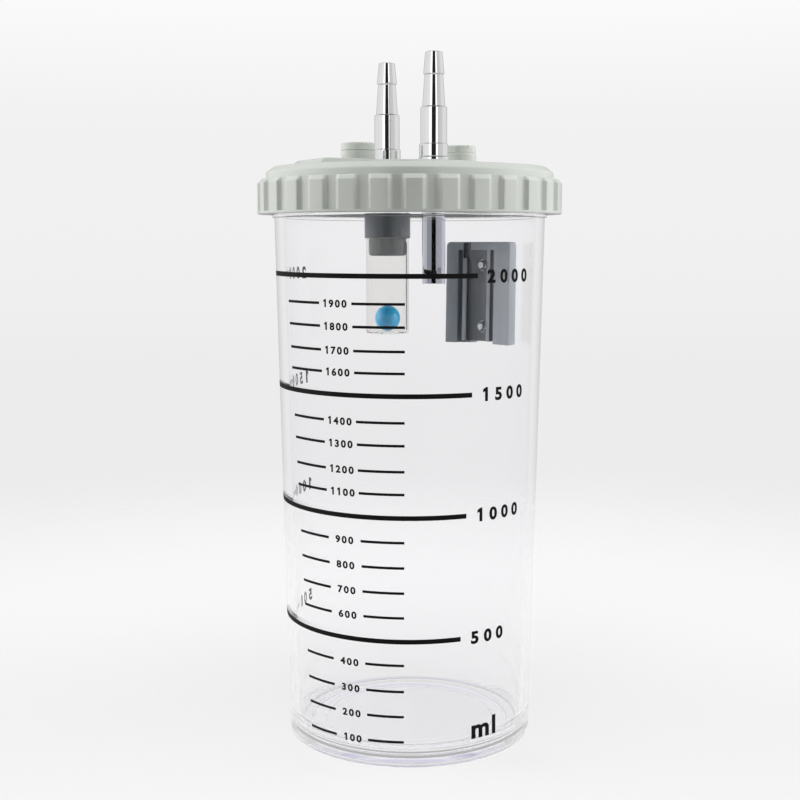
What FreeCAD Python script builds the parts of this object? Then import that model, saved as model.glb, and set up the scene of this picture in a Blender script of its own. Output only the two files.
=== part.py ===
import FreeCAD, Part
import Sketcher
import math
import os
import re

# Suction canister for ward use: a clear tapered jar that holds two litres, a lid plate held
# down by a scalloped screw ring, two stepped hose nozzles, a float valve that shuts the vacuum
# port when the jar is full, two capped spare ports and a hanging bracket on the jar's back.
# The frame stands on the centre of the jar's foot: +Z up, the scale faces -Y, the bracket +Y.
# Lengths are millimetres and angles degrees.

DRIVING_SIZES = [
    # Jar: a cone frustum with an even wall, a recessed foot and a neck with room for its thread
    ("jar_base_radius", "56.5"),
    ("jar_shoulder_radius", "61.5"),
    ("jar_shoulder_height", "239.0"),
    ("jar_wall", "4.2"),
    ("jar_floor", "2.8"),
    ("jar_inner_corner", "8.0"),
    ("foot_height", "2.2"),
    ("foot_wall", "10.5"),
    ("foot_taper", "1.5"),
    ("foot_corner", "1.5"),
    ("recess_step_radius", "39.4"),
    ("recess_step_height", "0.6"),
    ("collar_depth", "0.9"),
    ("collar_height", "1.3"),
    ("neck_wall", "3.8"),
    ("neck_height", "12.7"),
    ("neck_lip_chamfer", "0.7"),
    ("thread_room", "2.5"),
    # Locking ring: thirty grip lobes over a plain rim, a shoulder and a bevelled lip
    ("ring_wall", "3.6"),
    ("ring_bottom_gap", "0.2"),
    ("ring_bottom_chamfer", "0.5"),
    ("ring_side_clearance", "1.0"),
    ("ring_lip_clearance", "0.1"),
    ("ring_lip", "3.7"),
    ("ring_lip_overlap", "5.6"),
    ("ring_bevel_width", "3.3"),
    ("ring_bevel_height", "3.0"),
    ("ring_shoulder_height", "2.5"),
    ("ring_shoulder_inset", "2.0"),
    ("lobe_count", "30"),
    ("lobe_depth", "1.9"),
    ("lobe_rim", "1.2"),
    ("lobe_bevel_width", "1.5"),
    ("lobe_bevel_height", "2.1"),
    ("valley_mouth_width", "7.4"),
    ("valley_floor_width", "4.2"),
    ("ring_rest_turn", "4.0"),
    # Lid plate: flange on the gasket, spigot in the mouth, raised dome with a cross bar
    ("lid_turn", "-23.6"),
    ("gasket_thickness", "1.8"),
    ("gasket_inner_gap", "0.4"),
    ("gasket_edge", "0.4"),
    ("flange_thickness", "2.8"),
    ("plate_gap", "0.4"),
    ("plate_rise", "2.6"),
    ("plate_thickness", "3.2"),
    ("spigot_clearance", "0.9"),
    ("spigot_wall", "3.2"),
    ("spigot_depth", "5.8"),
    ("spigot_chamfer", "0.8"),
    ("dome_radius", "32.0"),
    ("dome_draft", "0.8"),
    ("dome_rise", "3.6"),
    ("dome_wall", "3.4"),
    ("dome_side_wall", "2.2"),
    ("dome_round", "0.8"),
    ("bar_width", "31.0"),
    ("bar_half_length", "54.0"),
    ("bar_rise", "0.4"),
    ("bar_end_slope", "5.0"),
    # Hose nozzles: collar, straight shank and two tapers, on a washer with a seal
    ("port_offset", "22.5"),
    ("port_hole_clearance", "0.15"),
    ("nozzle_bore_radius", "2.5"),
    ("nozzle_stem_radius", "3.95"),
    ("nozzle_stem_length", "16.3"),
    ("nozzle_collar_radius", "6.35"),
    ("nozzle_collar_height", "5.7"),
    ("nozzle_collar_chamfer", "0.4"),
    ("nozzle_shank_radius", "5.85"),
    ("nozzle_shank_height", "16.0"),
    ("nozzle_taper_root_radius", "5.05"),
    ("nozzle_taper_end_radius", "4.1"),
    ("nozzle_taper_height", "14.0"),
    ("nozzle_barb_radius", "4.6"),
    ("nozzle_barb_height", "0.6"),
    ("nozzle_tip_radius", "3.75"),
    ("nozzle_tip_height", "8.9"),
    ("washer_radius", "6.7"),
    ("washer_height", "1.5"),
    ("seal_thickness", "0.9"),
    ("seal_radius", "5.7"),
    ("seal_pocket_gap", "0.1"),
    ("nut_flats", "12.0"),
    ("nut_height", "3.8"),
    ("nut_gap", "0.05"),
    # Inlet tube under the patient port
    ("tube_radius", "5.1"),
    ("tube_wall", "1.1"),
    ("tube_length", "46.4"),
    ("tube_top_gap", "0.2"),
    # Float valve under the vacuum port
    ("skirt_radius", "9.5"),
    ("skirt_wall", "1.3"),
    ("skirt_length", "12.4"),
    ("holder_radius", "10.9"),
    ("holder_top_gap", "0.2"),
    ("holder_fit", "0.1"),
    ("holder_body_length", "26.6"),
    ("holder_spigot_length", "8.2"),
    ("holder_spigot_chamfer", "1.2"),
    ("holder_bore_radius", "6.0"),
    ("seat_radius", "6.95"),
    ("seat_hole_radius", "3.5"),
    ("seat_thickness", "2.4"),
    ("seat_chamfer", "0.8"),
    ("cage_radius", "10.25"),
    ("cage_wall", "1.2"),
    ("cage_length", "44.7"),
    ("cage_floor", "1.0"),
    ("cage_floor_hole_radius", "1.7"),
    ("cage_floor_hole_offset", "6.2"),
    ("cage_hole_count", "4"),
    ("ball_radius", "6.05"),
    ("ball_rest_gap", "0.05"),
    # Spare ports: two moulded bosses, each closed with a screw cap on a seal
    ("spare_offset", "26.0"),
    ("spare_radius", "7.7"),
    ("spare_height", "4.7"),
    ("rear_boss_radius", "8.0"),
    ("rear_boss_height", "5.0"),
    ("cap_height", "3.4"),
    ("cap_chamfer", "0.7"),
    ("cap_stem_radius", "3.9"),
    ("cap_stem_length", "10.0"),
    ("cap_slot_width", "1.6"),
    ("cap_slot_depth", "1.2"),
    # Hanging bracket: cored towards the jar, a dovetail slot outside, two screws into the jar
    ("bracket_width", "41.2"),
    ("bracket_height", "50.1"),
    ("bracket_drop", "10.4"),
    ("bracket_corner", "2.0"),
    ("bracket_jar_gap", "0.1"),
    ("core_gap", "0.5"),
    ("core_left", "14.4"),
    ("core_right", "8.3"),
    ("core_top_margin", "4.0"),
    ("core_rib_left", "11.7"),
    ("core_rib_right", "3.3"),
    ("core_rib_width", "2.3"),
    ("notch_left", "11.6"),
    ("notch_width", "4.6"),
    ("foot_relief", "1.1"),
    ("bracket_web", "1.6"),
    ("slot_depth", "5.2"),
    ("slot_mouth_width", "13.0"),
    ("slot_floor_width", "18.0"),
    ("slot_stop_margin", "6.0"),
    ("screw_radius", "1.5"),
    ("screw_head_radius", "2.9"),
    ("screw_end_margin", "1.0"),
    ("screw_gap", "0.1"),
    ("screw_low_margin", "8.4"),
    ("screw_high_margin", "11.4"),
    ("screw_post_radius", "2.4"),
]

DERIVED_SIZES = [
    # Heights, from the floor up
    ("floor_z", "=foot_height + jar_floor"),
    ("collar_top_z", "=jar_shoulder_height + collar_height"),
    ("rim_z", "=collar_top_z + neck_height"),
    ("flange_z", "=rim_z + gasket_thickness"),
    ("flange_top_z", "=flange_z + flange_thickness"),
    ("plate_top_z", "=flange_top_z + plate_rise"),
    ("plate_under_z", "=plate_top_z - plate_thickness"),
    ("dome_top_z", "=plate_top_z + dome_rise"),
    ("dome_under_z", "=dome_top_z - dome_wall"),
    ("bar_top_z", "=dome_top_z + bar_rise"),
    ("ring_bottom_z", "=collar_top_z + ring_bottom_gap"),
    ("ring_ceiling_z", "=flange_top_z + ring_lip_clearance"),
    ("ring_top_z", "=ring_ceiling_z + ring_lip"),
    ("ring_shoulder_z", "=ring_top_z - ring_bevel_height"),
    ("lobe_top_z", "=ring_shoulder_z - ring_shoulder_height"),
    ("nut_bottom_z", "=dome_under_z - nut_height"),
    ("skirt_bottom_z", "=dome_under_z - skirt_length"),
    ("tube_top_z", "=nut_bottom_z - tube_top_gap"),
    ("holder_top_z", "=plate_under_z - holder_top_gap"),
    ("holder_shoulder_z", "=holder_top_z - holder_body_length"),
    ("cage_bottom_z", "=holder_shoulder_z - cage_length"),
    ("holder_bottom_z", "=holder_shoulder_z - holder_spigot_length"),
    ("spare_top_z", "=dome_top_z + spare_height"),
    ("rear_boss_top_z", "=dome_top_z + rear_boss_height"),
    ("nozzle_z", "=dome_top_z + washer_height"),
    # Radii, from the jar's wall outwards and inwards
    ("jar_draft", "=(jar_shoulder_radius - jar_base_radius) / jar_shoulder_height"),
    ("floor_radius", "=jar_base_radius + jar_draft * floor_z - jar_wall"),
    ("mouth_radius", "=jar_shoulder_radius - jar_wall"),
    ("neck_radius", "=mouth_radius + neck_wall"),
    ("ring_bore_radius", "=neck_radius + thread_room"),
    ("ring_root_radius", "=ring_bore_radius + ring_wall"),
    ("ring_tip_radius", "=ring_root_radius + lobe_depth"),
    ("ring_shoulder_radius", "=ring_root_radius - ring_shoulder_inset"),
    ("ring_bevel_radius", "=ring_shoulder_radius - ring_bevel_width"),
    ("flange_radius", "=ring_bore_radius - ring_side_clearance"),
    ("ring_opening_radius", "=flange_radius - ring_lip_overlap"),
    ("plate_radius", "=ring_opening_radius - plate_gap"),
    ("spigot_radius", "=mouth_radius - spigot_clearance"),
    ("dome_core_radius", "=dome_radius - dome_side_wall"),
    ("port_hole_radius", "=nozzle_stem_radius + port_hole_clearance"),
    ("cap_hole_radius", "=cap_stem_radius + port_hole_clearance"),
    ("nut_corner_radius", "=nut_flats / sqrt(3)"),
    ("skirt_bore_radius", "=skirt_radius - skirt_wall"),
    ("holder_socket_radius", "=skirt_radius + holder_fit"),
    ("cage_bore_radius", "=cage_radius - cage_wall"),
    ("holder_spigot_radius", "=cage_bore_radius - holder_fit / 2"),
    # Places of the ports and caps round the lid's axis
    ("inlet_x", "=port_offset * cos(lid_turn)"),
    ("inlet_y", "=port_offset * sin(lid_turn)"),
    ("rear_cap_x", "=-spare_offset * sin(lid_turn)"),
    ("rear_cap_y", "=spare_offset * cos(lid_turn)"),
    ("ball_z", "=cage_bottom_z + cage_floor + ball_rest_gap + ball_radius"),
    # Bracket planes
    ("bracket_top_z", "=jar_shoulder_height - bracket_drop"),
    ("bracket_bottom_z", "=bracket_top_z - bracket_height"),
    ("screw_low_z", "=bracket_bottom_z + screw_low_margin"),
    ("screw_high_z", "=bracket_top_z - screw_high_margin"),
    ("core_floor_y", "=jar_shoulder_radius + core_gap"),
    ("slot_floor_y", "=core_floor_y + bracket_web"),
    ("bracket_outer_y", "=slot_floor_y + slot_depth"),
    ("post_root_y", "=jar_base_radius + jar_draft * screw_low_z - jar_wall / 2"),
    ("screw_end_y", "=post_root_y + screw_end_margin"),
]

FUNCTIONS = ("cos", "sin", "tan", "sqrt")
PLACEHOLDER_RADIUS = 50.0
EDGE_TOLERANCE = 0.01
HEXAGON_ANGLES = (30, 90, 150, 210, 270, 330)

doc = FreeCAD.newDocument("suction_canister")
sizes = doc.addObject("Spreadsheet::Sheet", "sizes")
for row, (alias, content) in enumerate(DRIVING_SIZES + DERIVED_SIZES, start=1):
    sizes.set("A%d" % row, alias)
    sizes.set("B%d" % row, content)
    sizes.setAlias("B%d" % row, alias)
doc.recompute()

sub_parts = []


def bound(text):
    """Write a sum of size names as an expression on the sheet."""
    return re.sub(r"[a-z][a-z_]+", lambda m: m.group(0) if m.group(0) in FUNCTIONS
                  else "sizes." + m.group(0), text)


def size(alias):
    """The present value of one size."""
    return float(sizes.get(alias))


def new_body(name, place=None, turn=None):
    """A body whose label names its file, with size expressions for x, y and the turn about Z."""
    body = doc.addObject("PartDesign::Body", name)
    body.Label = name
    if place:
        body.setExpression("Placement.Base.x", bound(place[0]))
        body.setExpression("Placement.Base.y", bound(place[1]))
    if turn:
        body.setExpression("Placement.Rotation.Yaw", bound(turn))
    sub_parts.append(body)
    return body


def new_sketch(body, plane, name, offset="0"):
    """A sketch on one of the body's own origin planes, moved along that plane's normal."""
    sketch = body.newObject("Sketcher::SketchObject", name)
    support = [f for f in body.Origin.OriginFeatures if f.Role == plane + "_Plane"][0]
    sketch.AttachmentSupport = [(support, "")]
    sketch.MapMode = "FlatFace"
    if offset != "0":
        sketch.setExpression("AttachmentOffset.Base.z", bound(offset))
    return sketch


def pin_point(sketch, geometry, point, text, kind, axis, start):
    """Tie one coordinate of a point to a size expression, or lay it on an axis."""
    if text == "0":
        sketch.addConstraint(Sketcher.Constraint("PointOnObject", geometry, point, axis))
        return
    index = sketch.addConstraint(Sketcher.Constraint(kind, -1, 1, geometry, point, start))
    sketch.setExpression("Constraints[%d]" % index, bound(text))


def add_polygon(sketch, points):
    """A closed outline of straight lines through points given as size expressions."""
    count = len(points)
    first = sketch.GeometryCount
    starts = []
    for i in range(count):
        angle = 2.0 * math.pi * (i + 0.25) / count
        starts.append(FreeCAD.Vector(PLACEHOLDER_RADIUS * math.cos(angle),
                                     PLACEHOLDER_RADIUS * math.sin(angle), 0))
    for i in range(count):
        sketch.addGeometry(Part.LineSegment(starts[i], starts[(i + 1) % count]), False)
    for i in range(count):
        sketch.addConstraint(Sketcher.Constraint("Coincident", first + i, 2,
                                                 first + (i + 1) % count, 1))
    for i, (across, up) in enumerate(points):
        pin_point(sketch, first + i, 1, across, "DistanceX", -2, starts[i].x)
        pin_point(sketch, first + i, 1, up, "DistanceY", -1, starts[i].y)


def add_circle(sketch, across, up, radius):
    """A circle whose centre and radius are size expressions."""
    start = FreeCAD.Vector(PLACEHOLDER_RADIUS, PLACEHOLDER_RADIUS, 0)
    index = sketch.addGeometry(Part.Circle(start, FreeCAD.Vector(0, 0, 1), 1.0), False)
    pin_point(sketch, index, 3, across, "DistanceX", -2, start.x)
    pin_point(sketch, index, 3, up, "DistanceY", -1, start.y)
    radius_index = sketch.addConstraint(Sketcher.Constraint("Radius", index, 1.0))
    sketch.setExpression("Constraints[%d]" % radius_index, bound(radius))


def revolve(body, name, points, kind="Revolution"):
    """Turn a half section, given as (radius, height) pairs, about the body's vertical axis."""
    sketch = new_sketch(body, "XZ", name + "_section")
    add_polygon(sketch, points)
    feature = body.newObject("PartDesign::" + kind, name)
    feature.Profile = sketch
    feature.ReferenceAxis = (sketch, ["V_Axis"])
    feature.Angle = 360.0
    return feature


def extrude(body, kind, sketch, length, reverse=False, symmetric=False):
    """Pad or pocket a sketch; the length is a size expression, or None for right through."""
    feature = body.newObject("PartDesign::" + kind, sketch.Name + "_" + kind.lower())
    feature.Profile = sketch
    if length is None:
        feature.Type = "ThroughAll"
    else:
        feature.setExpression("Length", bound(length))
    if symmetric:
        feature.SideType = "Symmetric"
    feature.Reversed = reverse
    return feature


def polar(body, feature, sketch, count):
    """Repeat a feature round the axis through its sketch's origin."""
    pattern = body.newObject("PartDesign::PolarPattern", feature.Name + "_ring")
    pattern.Originals = [feature]
    pattern.Axis = (sketch, ["N_Axis"])
    pattern.Angle = 360.0
    pattern.setExpression("Occurrences", bound(count))
    body.Tip = pattern
    return pattern


def circles_at(feature, radius, height):
    """The names of a feature's round edges with this radius, centred on Z at this height."""
    found = []
    for i, edge in enumerate(feature.Shape.Edges, start=1):
        curve = edge.Curve
        if not isinstance(curve, Part.Circle):
            continue
        on_axis = math.hypot(curve.Center.x, curve.Center.y) < EDGE_TOLERANCE
        same_size = abs(curve.Radius - radius) < EDGE_TOLERANCE
        if on_axis and same_size and abs(curve.Center.z - height) < EDGE_TOLERANCE:
            found.append("Edge%d" % i)
    return found


def round_edges(body, feature, edges, radius):
    """Round the named edges of a feature with one size."""
    fillet = body.newObject("PartDesign::Fillet", feature.Name + "_round_" + radius)
    fillet.Base = (feature, edges)
    fillet.setExpression("Radius", bound(radius))
    return fillet


def turned(name, points, place=None, turn=None):
    """A sub-part that is one turned form."""
    body = new_body(name, place, turn)
    revolve(body, name + "_form", points)
    return body


def rectangle(x_low, x_high, y_low, y_high):
    """The four corners of an upright rectangle."""
    return [(x_low, y_low), (x_high, y_low), (x_high, y_high), (x_low, y_high)]


# Jar: one clear moulding. Its wall leans out by the draft, its foot is a ring round a stepped
# recess, and the neck above the collar leaves room for the screw thread. Two posts behind take
# the bracket's screws.
jar = new_body("jar")
jar_form = revolve(jar, "jar_form", [
    ("jar_base_radius - foot_wall + foot_taper", "0"),
    ("jar_base_radius", "0"),
    ("jar_shoulder_radius", "jar_shoulder_height"),
    ("jar_shoulder_radius + collar_depth", "jar_shoulder_height"),
    ("jar_shoulder_radius + collar_depth", "collar_top_z"),
    ("neck_radius", "collar_top_z"),
    ("neck_radius", "rim_z - neck_lip_chamfer"),
    ("neck_radius - neck_lip_chamfer", "rim_z"),
    ("mouth_radius + neck_lip_chamfer", "rim_z"),
    ("mouth_radius", "rim_z - neck_lip_chamfer"),
    ("mouth_radius", "jar_shoulder_height"),
    ("floor_radius", "floor_z"),
    ("0", "floor_z"),
    ("0", "foot_height + recess_step_height"),
    ("recess_step_radius", "foot_height + recess_step_height"),
    ("recess_step_radius", "foot_height"),
    ("jar_base_radius - foot_wall", "foot_height"),
])
doc.recompute()
jar_foot = round_edges(jar, jar_form, circles_at(jar_form, size("jar_base_radius"), 0.0),
                       "foot_corner")
doc.recompute()
round_edges(jar, jar_foot, circles_at(jar_foot, size("floor_radius"),
                                                   size("floor_z")), "jar_inner_corner")
posts = new_sketch(jar, "XZ", "jar_posts", "-core_floor_y")
for height in ("screw_low_z", "screw_high_z"):
    add_circle(posts, "0", height, "screw_post_radius")
extrude(jar, "Pad", posts, "core_floor_y - post_root_y")
pilots = new_sketch(jar, "XZ", "jar_pilots", "-core_floor_y")
for height in ("screw_low_z", "screw_high_z"):
    add_circle(pilots, "0", height, "screw_radius + screw_gap / 2")
extrude(jar, "Pocket", pilots, "core_floor_y - screw_end_y + screw_gap", reverse=True)

# Locking ring: a cap ring whose lip presses the lid's flange down on the gasket. The grip is
# a plain rim with valleys cut between thirty lobes. It is drawn turned as it comes to rest.
locking_ring = new_body("locking_ring", turn="ring_rest_turn")
revolve(locking_ring, "ring_form", [
    ("ring_bore_radius", "ring_bottom_z"),
    ("ring_tip_radius - ring_bottom_chamfer", "ring_bottom_z"),
    ("ring_tip_radius", "ring_bottom_z + ring_bottom_chamfer"),
    ("ring_tip_radius", "lobe_top_z - lobe_bevel_height"),
    ("ring_tip_radius - lobe_bevel_width", "lobe_top_z"),
    ("ring_shoulder_radius", "lobe_top_z"),
    ("ring_shoulder_radius", "ring_shoulder_z"),
    ("ring_bevel_radius", "ring_top_z"),
    ("ring_opening_radius", "ring_top_z"),
    ("ring_opening_radius", "ring_ceiling_z"),
    ("ring_bore_radius", "ring_ceiling_z"),
])
valley = new_sketch(locking_ring, "XY", "ring_valley", "ring_bottom_z + lobe_rim")
add_polygon(valley, [
    ("ring_root_radius", "-valley_floor_width / 2"),
    ("ring_tip_radius", "-valley_mouth_width / 2"),
    ("ring_tip_radius + lobe_depth", "-valley_mouth_width / 2"),
    ("ring_tip_radius + lobe_depth", "valley_mouth_width / 2"),
    ("ring_tip_radius", "valley_mouth_width / 2"),
    ("ring_root_radius", "valley_floor_width / 2"),
])
valley_cut = extrude(locking_ring, "Pocket", valley, "ring_top_z - ring_bottom_z", reverse=True)
polar(locking_ring, valley_cut, valley, "lobe_count")

# Lid plate, drawn with its ports along X and turned with the lid: flange, spigot, dome, cross
# bar, two spare bosses, the valve's skirt and the four port holes.
lid = new_body("lid", turn="lid_turn")
lid_form = revolve(lid, "lid_form", [
    ("0", "dome_under_z"),
    ("dome_core_radius", "dome_under_z"),
    ("dome_core_radius", "plate_under_z"),
    ("spigot_radius - spigot_wall", "plate_under_z"),
    ("spigot_radius - spigot_wall", "flange_z - spigot_depth"),
    ("spigot_radius - spigot_chamfer", "flange_z - spigot_depth"),
    ("spigot_radius", "flange_z - spigot_depth + spigot_chamfer"),
    ("spigot_radius", "flange_z"),
    ("flange_radius", "flange_z"),
    ("flange_radius", "flange_top_z"),
    ("plate_radius", "flange_top_z"),
    ("plate_radius", "plate_top_z"),
    ("dome_radius + dome_draft", "plate_top_z"),
    ("dome_radius", "dome_top_z"),
    ("0", "dome_top_z"),
])
doc.recompute()
round_edges(lid, lid_form, circles_at(lid_form, size("dome_radius"), size("dome_top_z")),
            "dome_round")
bar = new_sketch(lid, "YZ", "lid_bar")
add_polygon(bar, [
    ("-bar_half_length", "plate_top_z - plate_thickness / 2"),
    ("bar_half_length", "plate_top_z - plate_thickness / 2"),
    ("bar_half_length", "plate_top_z"),
    ("bar_half_length - bar_end_slope", "bar_top_z"),
    ("-bar_half_length + bar_end_slope", "bar_top_z"),
    ("-bar_half_length", "plate_top_z"),
])
extrude(lid, "Pad", bar, "bar_width", symmetric=True)
front_boss = new_sketch(lid, "XY", "lid_front_boss", "dome_top_z - dome_wall / 2")
add_circle(front_boss, "0", "-spare_offset", "spare_radius")
extrude(lid, "Pad", front_boss, "spare_height + dome_wall / 2")
rear_boss = new_sketch(lid, "XY", "lid_rear_boss", "plate_top_z - plate_thickness / 2")
add_circle(rear_boss, "0", "spare_offset", "rear_boss_radius")
extrude(lid, "Pad", rear_boss, "rear_boss_top_z - plate_top_z + plate_thickness / 2")
skirt = new_sketch(lid, "XY", "lid_skirt", "skirt_bottom_z")
add_circle(skirt, "-port_offset", "0", "skirt_radius")
extrude(lid, "Pad", skirt, "skirt_length + dome_wall / 2")
skirt_bore = new_sketch(lid, "XY", "lid_skirt_bore", "skirt_bottom_z")
add_circle(skirt_bore, "-port_offset", "0", "skirt_bore_radius")
extrude(lid, "Pocket", skirt_bore, "skirt_length", reverse=True)
ports = new_sketch(lid, "XY", "lid_port_holes", "skirt_bottom_z")
add_circle(ports, "port_offset", "0", "port_hole_radius")
add_circle(ports, "-port_offset", "0", "port_hole_radius")
add_circle(ports, "0", "spare_offset", "cap_hole_radius")
add_circle(ports, "0", "-spare_offset", "cap_hole_radius")
extrude(lid, "Pocket", ports, None, reverse=True)

# Gasket between the jar's rim and the lid's flange
turned("lid_gasket", rectangle("spigot_radius + gasket_inner_gap", "neck_radius + gasket_edge",
                               "rim_z", "flange_z"))

# Nozzles, their washers, seals and nuts: the same at both ports
PORTS = [("inlet", "inlet_x", "inlet_y"), ("vacuum", "-inlet_x", "-inlet_y")]
shank_top = "nozzle_z + nozzle_collar_height + nozzle_shank_height"
for port, x, y in PORTS:
    turned(port + "_nozzle", [
        ("nozzle_bore_radius", "nozzle_z - nozzle_stem_length"),
        ("nozzle_stem_radius", "nozzle_z - nozzle_stem_length"),
        ("nozzle_stem_radius", "nozzle_z"),
        ("nozzle_collar_radius - nozzle_collar_chamfer", "nozzle_z"),
        ("nozzle_collar_radius", "nozzle_z + nozzle_collar_chamfer"),
        ("nozzle_collar_radius", "nozzle_z + nozzle_collar_height - nozzle_collar_chamfer"),
        ("nozzle_collar_radius - nozzle_collar_chamfer", "nozzle_z + nozzle_collar_height"),
        ("nozzle_shank_radius", "nozzle_z + nozzle_collar_height"),
        ("nozzle_shank_radius", shank_top),
        ("nozzle_taper_root_radius", shank_top),
        ("nozzle_taper_end_radius", shank_top + " + nozzle_taper_height"),
        ("nozzle_barb_radius", shank_top + " + nozzle_taper_height"),
        ("nozzle_barb_radius", shank_top + " + nozzle_taper_height + nozzle_barb_height"),
        ("nozzle_tip_radius",
         shank_top + " + nozzle_taper_height + nozzle_barb_height + nozzle_tip_height"),
        ("nozzle_bore_radius",
         shank_top + " + nozzle_taper_height + nozzle_barb_height + nozzle_tip_height"),
    ], (x, y))
    turned(port + "_washer", [
        ("port_hole_radius", "dome_top_z + seal_thickness"),
        ("seal_radius + seal_pocket_gap", "dome_top_z + seal_thickness"),
        ("seal_radius + seal_pocket_gap", "dome_top_z"),
        ("washer_radius", "dome_top_z"),
        ("washer_radius", "nozzle_z"),
        ("port_hole_radius", "nozzle_z"),
    ], (x, y))
    turned(port + "_seal", rectangle("port_hole_radius", "seal_radius", "dome_top_z",
                                     "dome_top_z + seal_thickness"), (x, y))
    nut = new_body(port + "_nut", (x, y), turn="lid_turn")
    hexagon = new_sketch(nut, "XY", port + "_nut_outline", "nut_bottom_z")
    add_polygon(hexagon, [("nut_corner_radius * cos(%d)" % angle,
                           "nut_corner_radius * sin(%d)" % angle) for angle in HEXAGON_ANGLES])
    add_circle(hexagon, "0", "0", "nozzle_stem_radius + nut_gap")
    extrude(nut, "Pad", hexagon, "nut_height")

# Inlet tube: a plain metal tube on the end of the patient nozzle's stem
turned("inlet_tube", rectangle("tube_radius - tube_wall", "tube_radius",
                               "tube_top_z - tube_length", "tube_top_z"),
       ("inlet_x", "inlet_y"))

# Float valve: the holder pushes on the lid's skirt, the seat sits in its lower end, the clear
# cage pushes on its spigot, and the ball rides up inside the cage to close the seat.
VALVE_PLACE = ("-inlet_x", "-inlet_y")
turned("valve_holder", [
    ("seat_radius + holder_fit / 2", "holder_bottom_z"),
    ("holder_spigot_radius - holder_spigot_chamfer", "holder_bottom_z"),
    ("holder_spigot_radius", "holder_bottom_z + holder_spigot_chamfer"),
    ("holder_spigot_radius", "holder_shoulder_z"),
    ("holder_radius", "holder_shoulder_z"),
    ("holder_radius", "holder_top_z"),
    ("holder_socket_radius", "holder_top_z"),
    ("holder_socket_radius", "skirt_bottom_z - holder_fit"),
    ("holder_bore_radius", "skirt_bottom_z - holder_fit"),
    ("holder_bore_radius", "holder_bottom_z + seat_thickness"),
    ("seat_radius + holder_fit / 2", "holder_bottom_z + seat_thickness"),
], VALVE_PLACE)
turned("valve_seat", [
    ("seat_hole_radius + seat_chamfer", "holder_bottom_z"),
    ("seat_radius", "holder_bottom_z"),
    ("seat_radius", "holder_bottom_z + seat_thickness"),
    ("seat_hole_radius", "holder_bottom_z + seat_thickness"),
    ("seat_hole_radius", "holder_bottom_z + seat_chamfer"),
], VALVE_PLACE)
float_cage = turned("float_cage", [
    ("0", "cage_bottom_z"),
    ("cage_radius", "cage_bottom_z"),
    ("cage_radius", "holder_shoulder_z - holder_fit"),
    ("cage_bore_radius", "holder_shoulder_z - holder_fit"),
    ("cage_bore_radius", "cage_bottom_z + cage_floor"),
    ("0", "cage_bottom_z + cage_floor"),
], VALVE_PLACE)
floor_hole = new_sketch(float_cage, "XY", "cage_floor_hole", "cage_bottom_z")
add_circle(floor_hole, "cage_floor_hole_offset", "0", "cage_floor_hole_radius")
floor_hole_cut = extrude(float_cage, "Pocket", floor_hole, "cage_floor", reverse=True)
polar(float_cage, floor_hole_cut, floor_hole, "cage_hole_count")
ball = doc.addObject("Part::Sphere", "float_ball")
ball.Label = "float_ball"
ball.setExpression("Radius", bound("ball_radius"))
ball.setExpression("Placement.Base.x", bound("-inlet_x"))
ball.setExpression("Placement.Base.y", bound("-inlet_y"))
ball.setExpression("Placement.Base.z", bound("ball_z"))
sub_parts.append(ball)

# Caps on the two spare ports: a head with a driver slot, a stem in the port, a seal under it
CAPS = [("front", "-rear_cap_x", "-rear_cap_y", "spare_top_z"),
        ("rear", "rear_cap_x", "rear_cap_y", "rear_boss_top_z")]
for end, x, y, seat in CAPS:
    cap = turned(end + "_port_cap", [
        ("0", seat + " - cap_stem_length"),
        ("cap_stem_radius", seat + " - cap_stem_length"),
        ("cap_stem_radius", seat + " + seal_thickness"),
        ("seal_radius + seal_pocket_gap", seat + " + seal_thickness"),
        ("seal_radius + seal_pocket_gap", seat),
        ("spare_radius", seat),
        ("spare_radius", seat + " + cap_height - cap_chamfer"),
        ("spare_radius - cap_chamfer", seat + " + cap_height"),
        ("0", seat + " + cap_height"),
    ], (x, y), turn="lid_turn")
    slot = new_sketch(cap, "XY", end + "_cap_slot", seat + " + cap_height")
    add_polygon(slot, rectangle("-spare_radius - cap_chamfer", "spare_radius + cap_chamfer",
                                "-cap_slot_width / 2", "cap_slot_width / 2"))
    extrude(cap, "Pocket", slot, "cap_slot_depth")
    turned(end + "_cap_seal", rectangle("cap_stem_radius + port_hole_clearance", "seal_radius",
                                        seat, seat + " + seal_thickness"), (x, y))

# Hanging bracket: a block fitted to the jar's cone, cored out towards the jar, with its ribs and
# web cut back at the foot, and a dovetail slot outside that is open at the bottom and stops
# under the top edge.
bracket = new_body("bracket")
block = new_sketch(bracket, "XZ", "bracket_block", "-bracket_outer_y")
add_polygon(block, rectangle("-bracket_width / 2", "bracket_width / 2", "bracket_bottom_z",
                             "bracket_top_z"))
block_pad = extrude(bracket, "Pad", block, "bracket_outer_y - jar_base_radius + bracket_width / 2")
doc.recompute()
half_width = size("bracket_width") / 2
corners = []
for i, edge in enumerate(block_pad.Shape.Edges, start=1):
    ends = [v.Point for v in edge.Vertexes]
    outer = all(abs(p.y - size("bracket_outer_y")) < EDGE_TOLERANCE for p in ends)
    top = all(abs(p.z - size("bracket_top_z")) < EDGE_TOLERANCE for p in ends)
    side = all(abs(abs(p.x) - half_width) < EDGE_TOLERANCE for p in ends)
    if (outer and side) or (top and side) or (outer and top):
        corners.append("Edge%d" % i)
round_edges(bracket, block_pad, corners, "bracket_corner")
revolve(bracket, "bracket_seat", [
    ("0", "0"),
    ("jar_base_radius + bracket_jar_gap", "0"),
    ("jar_shoulder_radius + bracket_jar_gap", "jar_shoulder_height"),
    ("0", "jar_shoulder_height"),
], kind="Groove")
core = new_sketch(bracket, "XZ", "bracket_core", "-core_floor_y")
core_top = "bracket_top_z - core_top_margin"
core_low = "bracket_bottom_z - core_top_margin"
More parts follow.
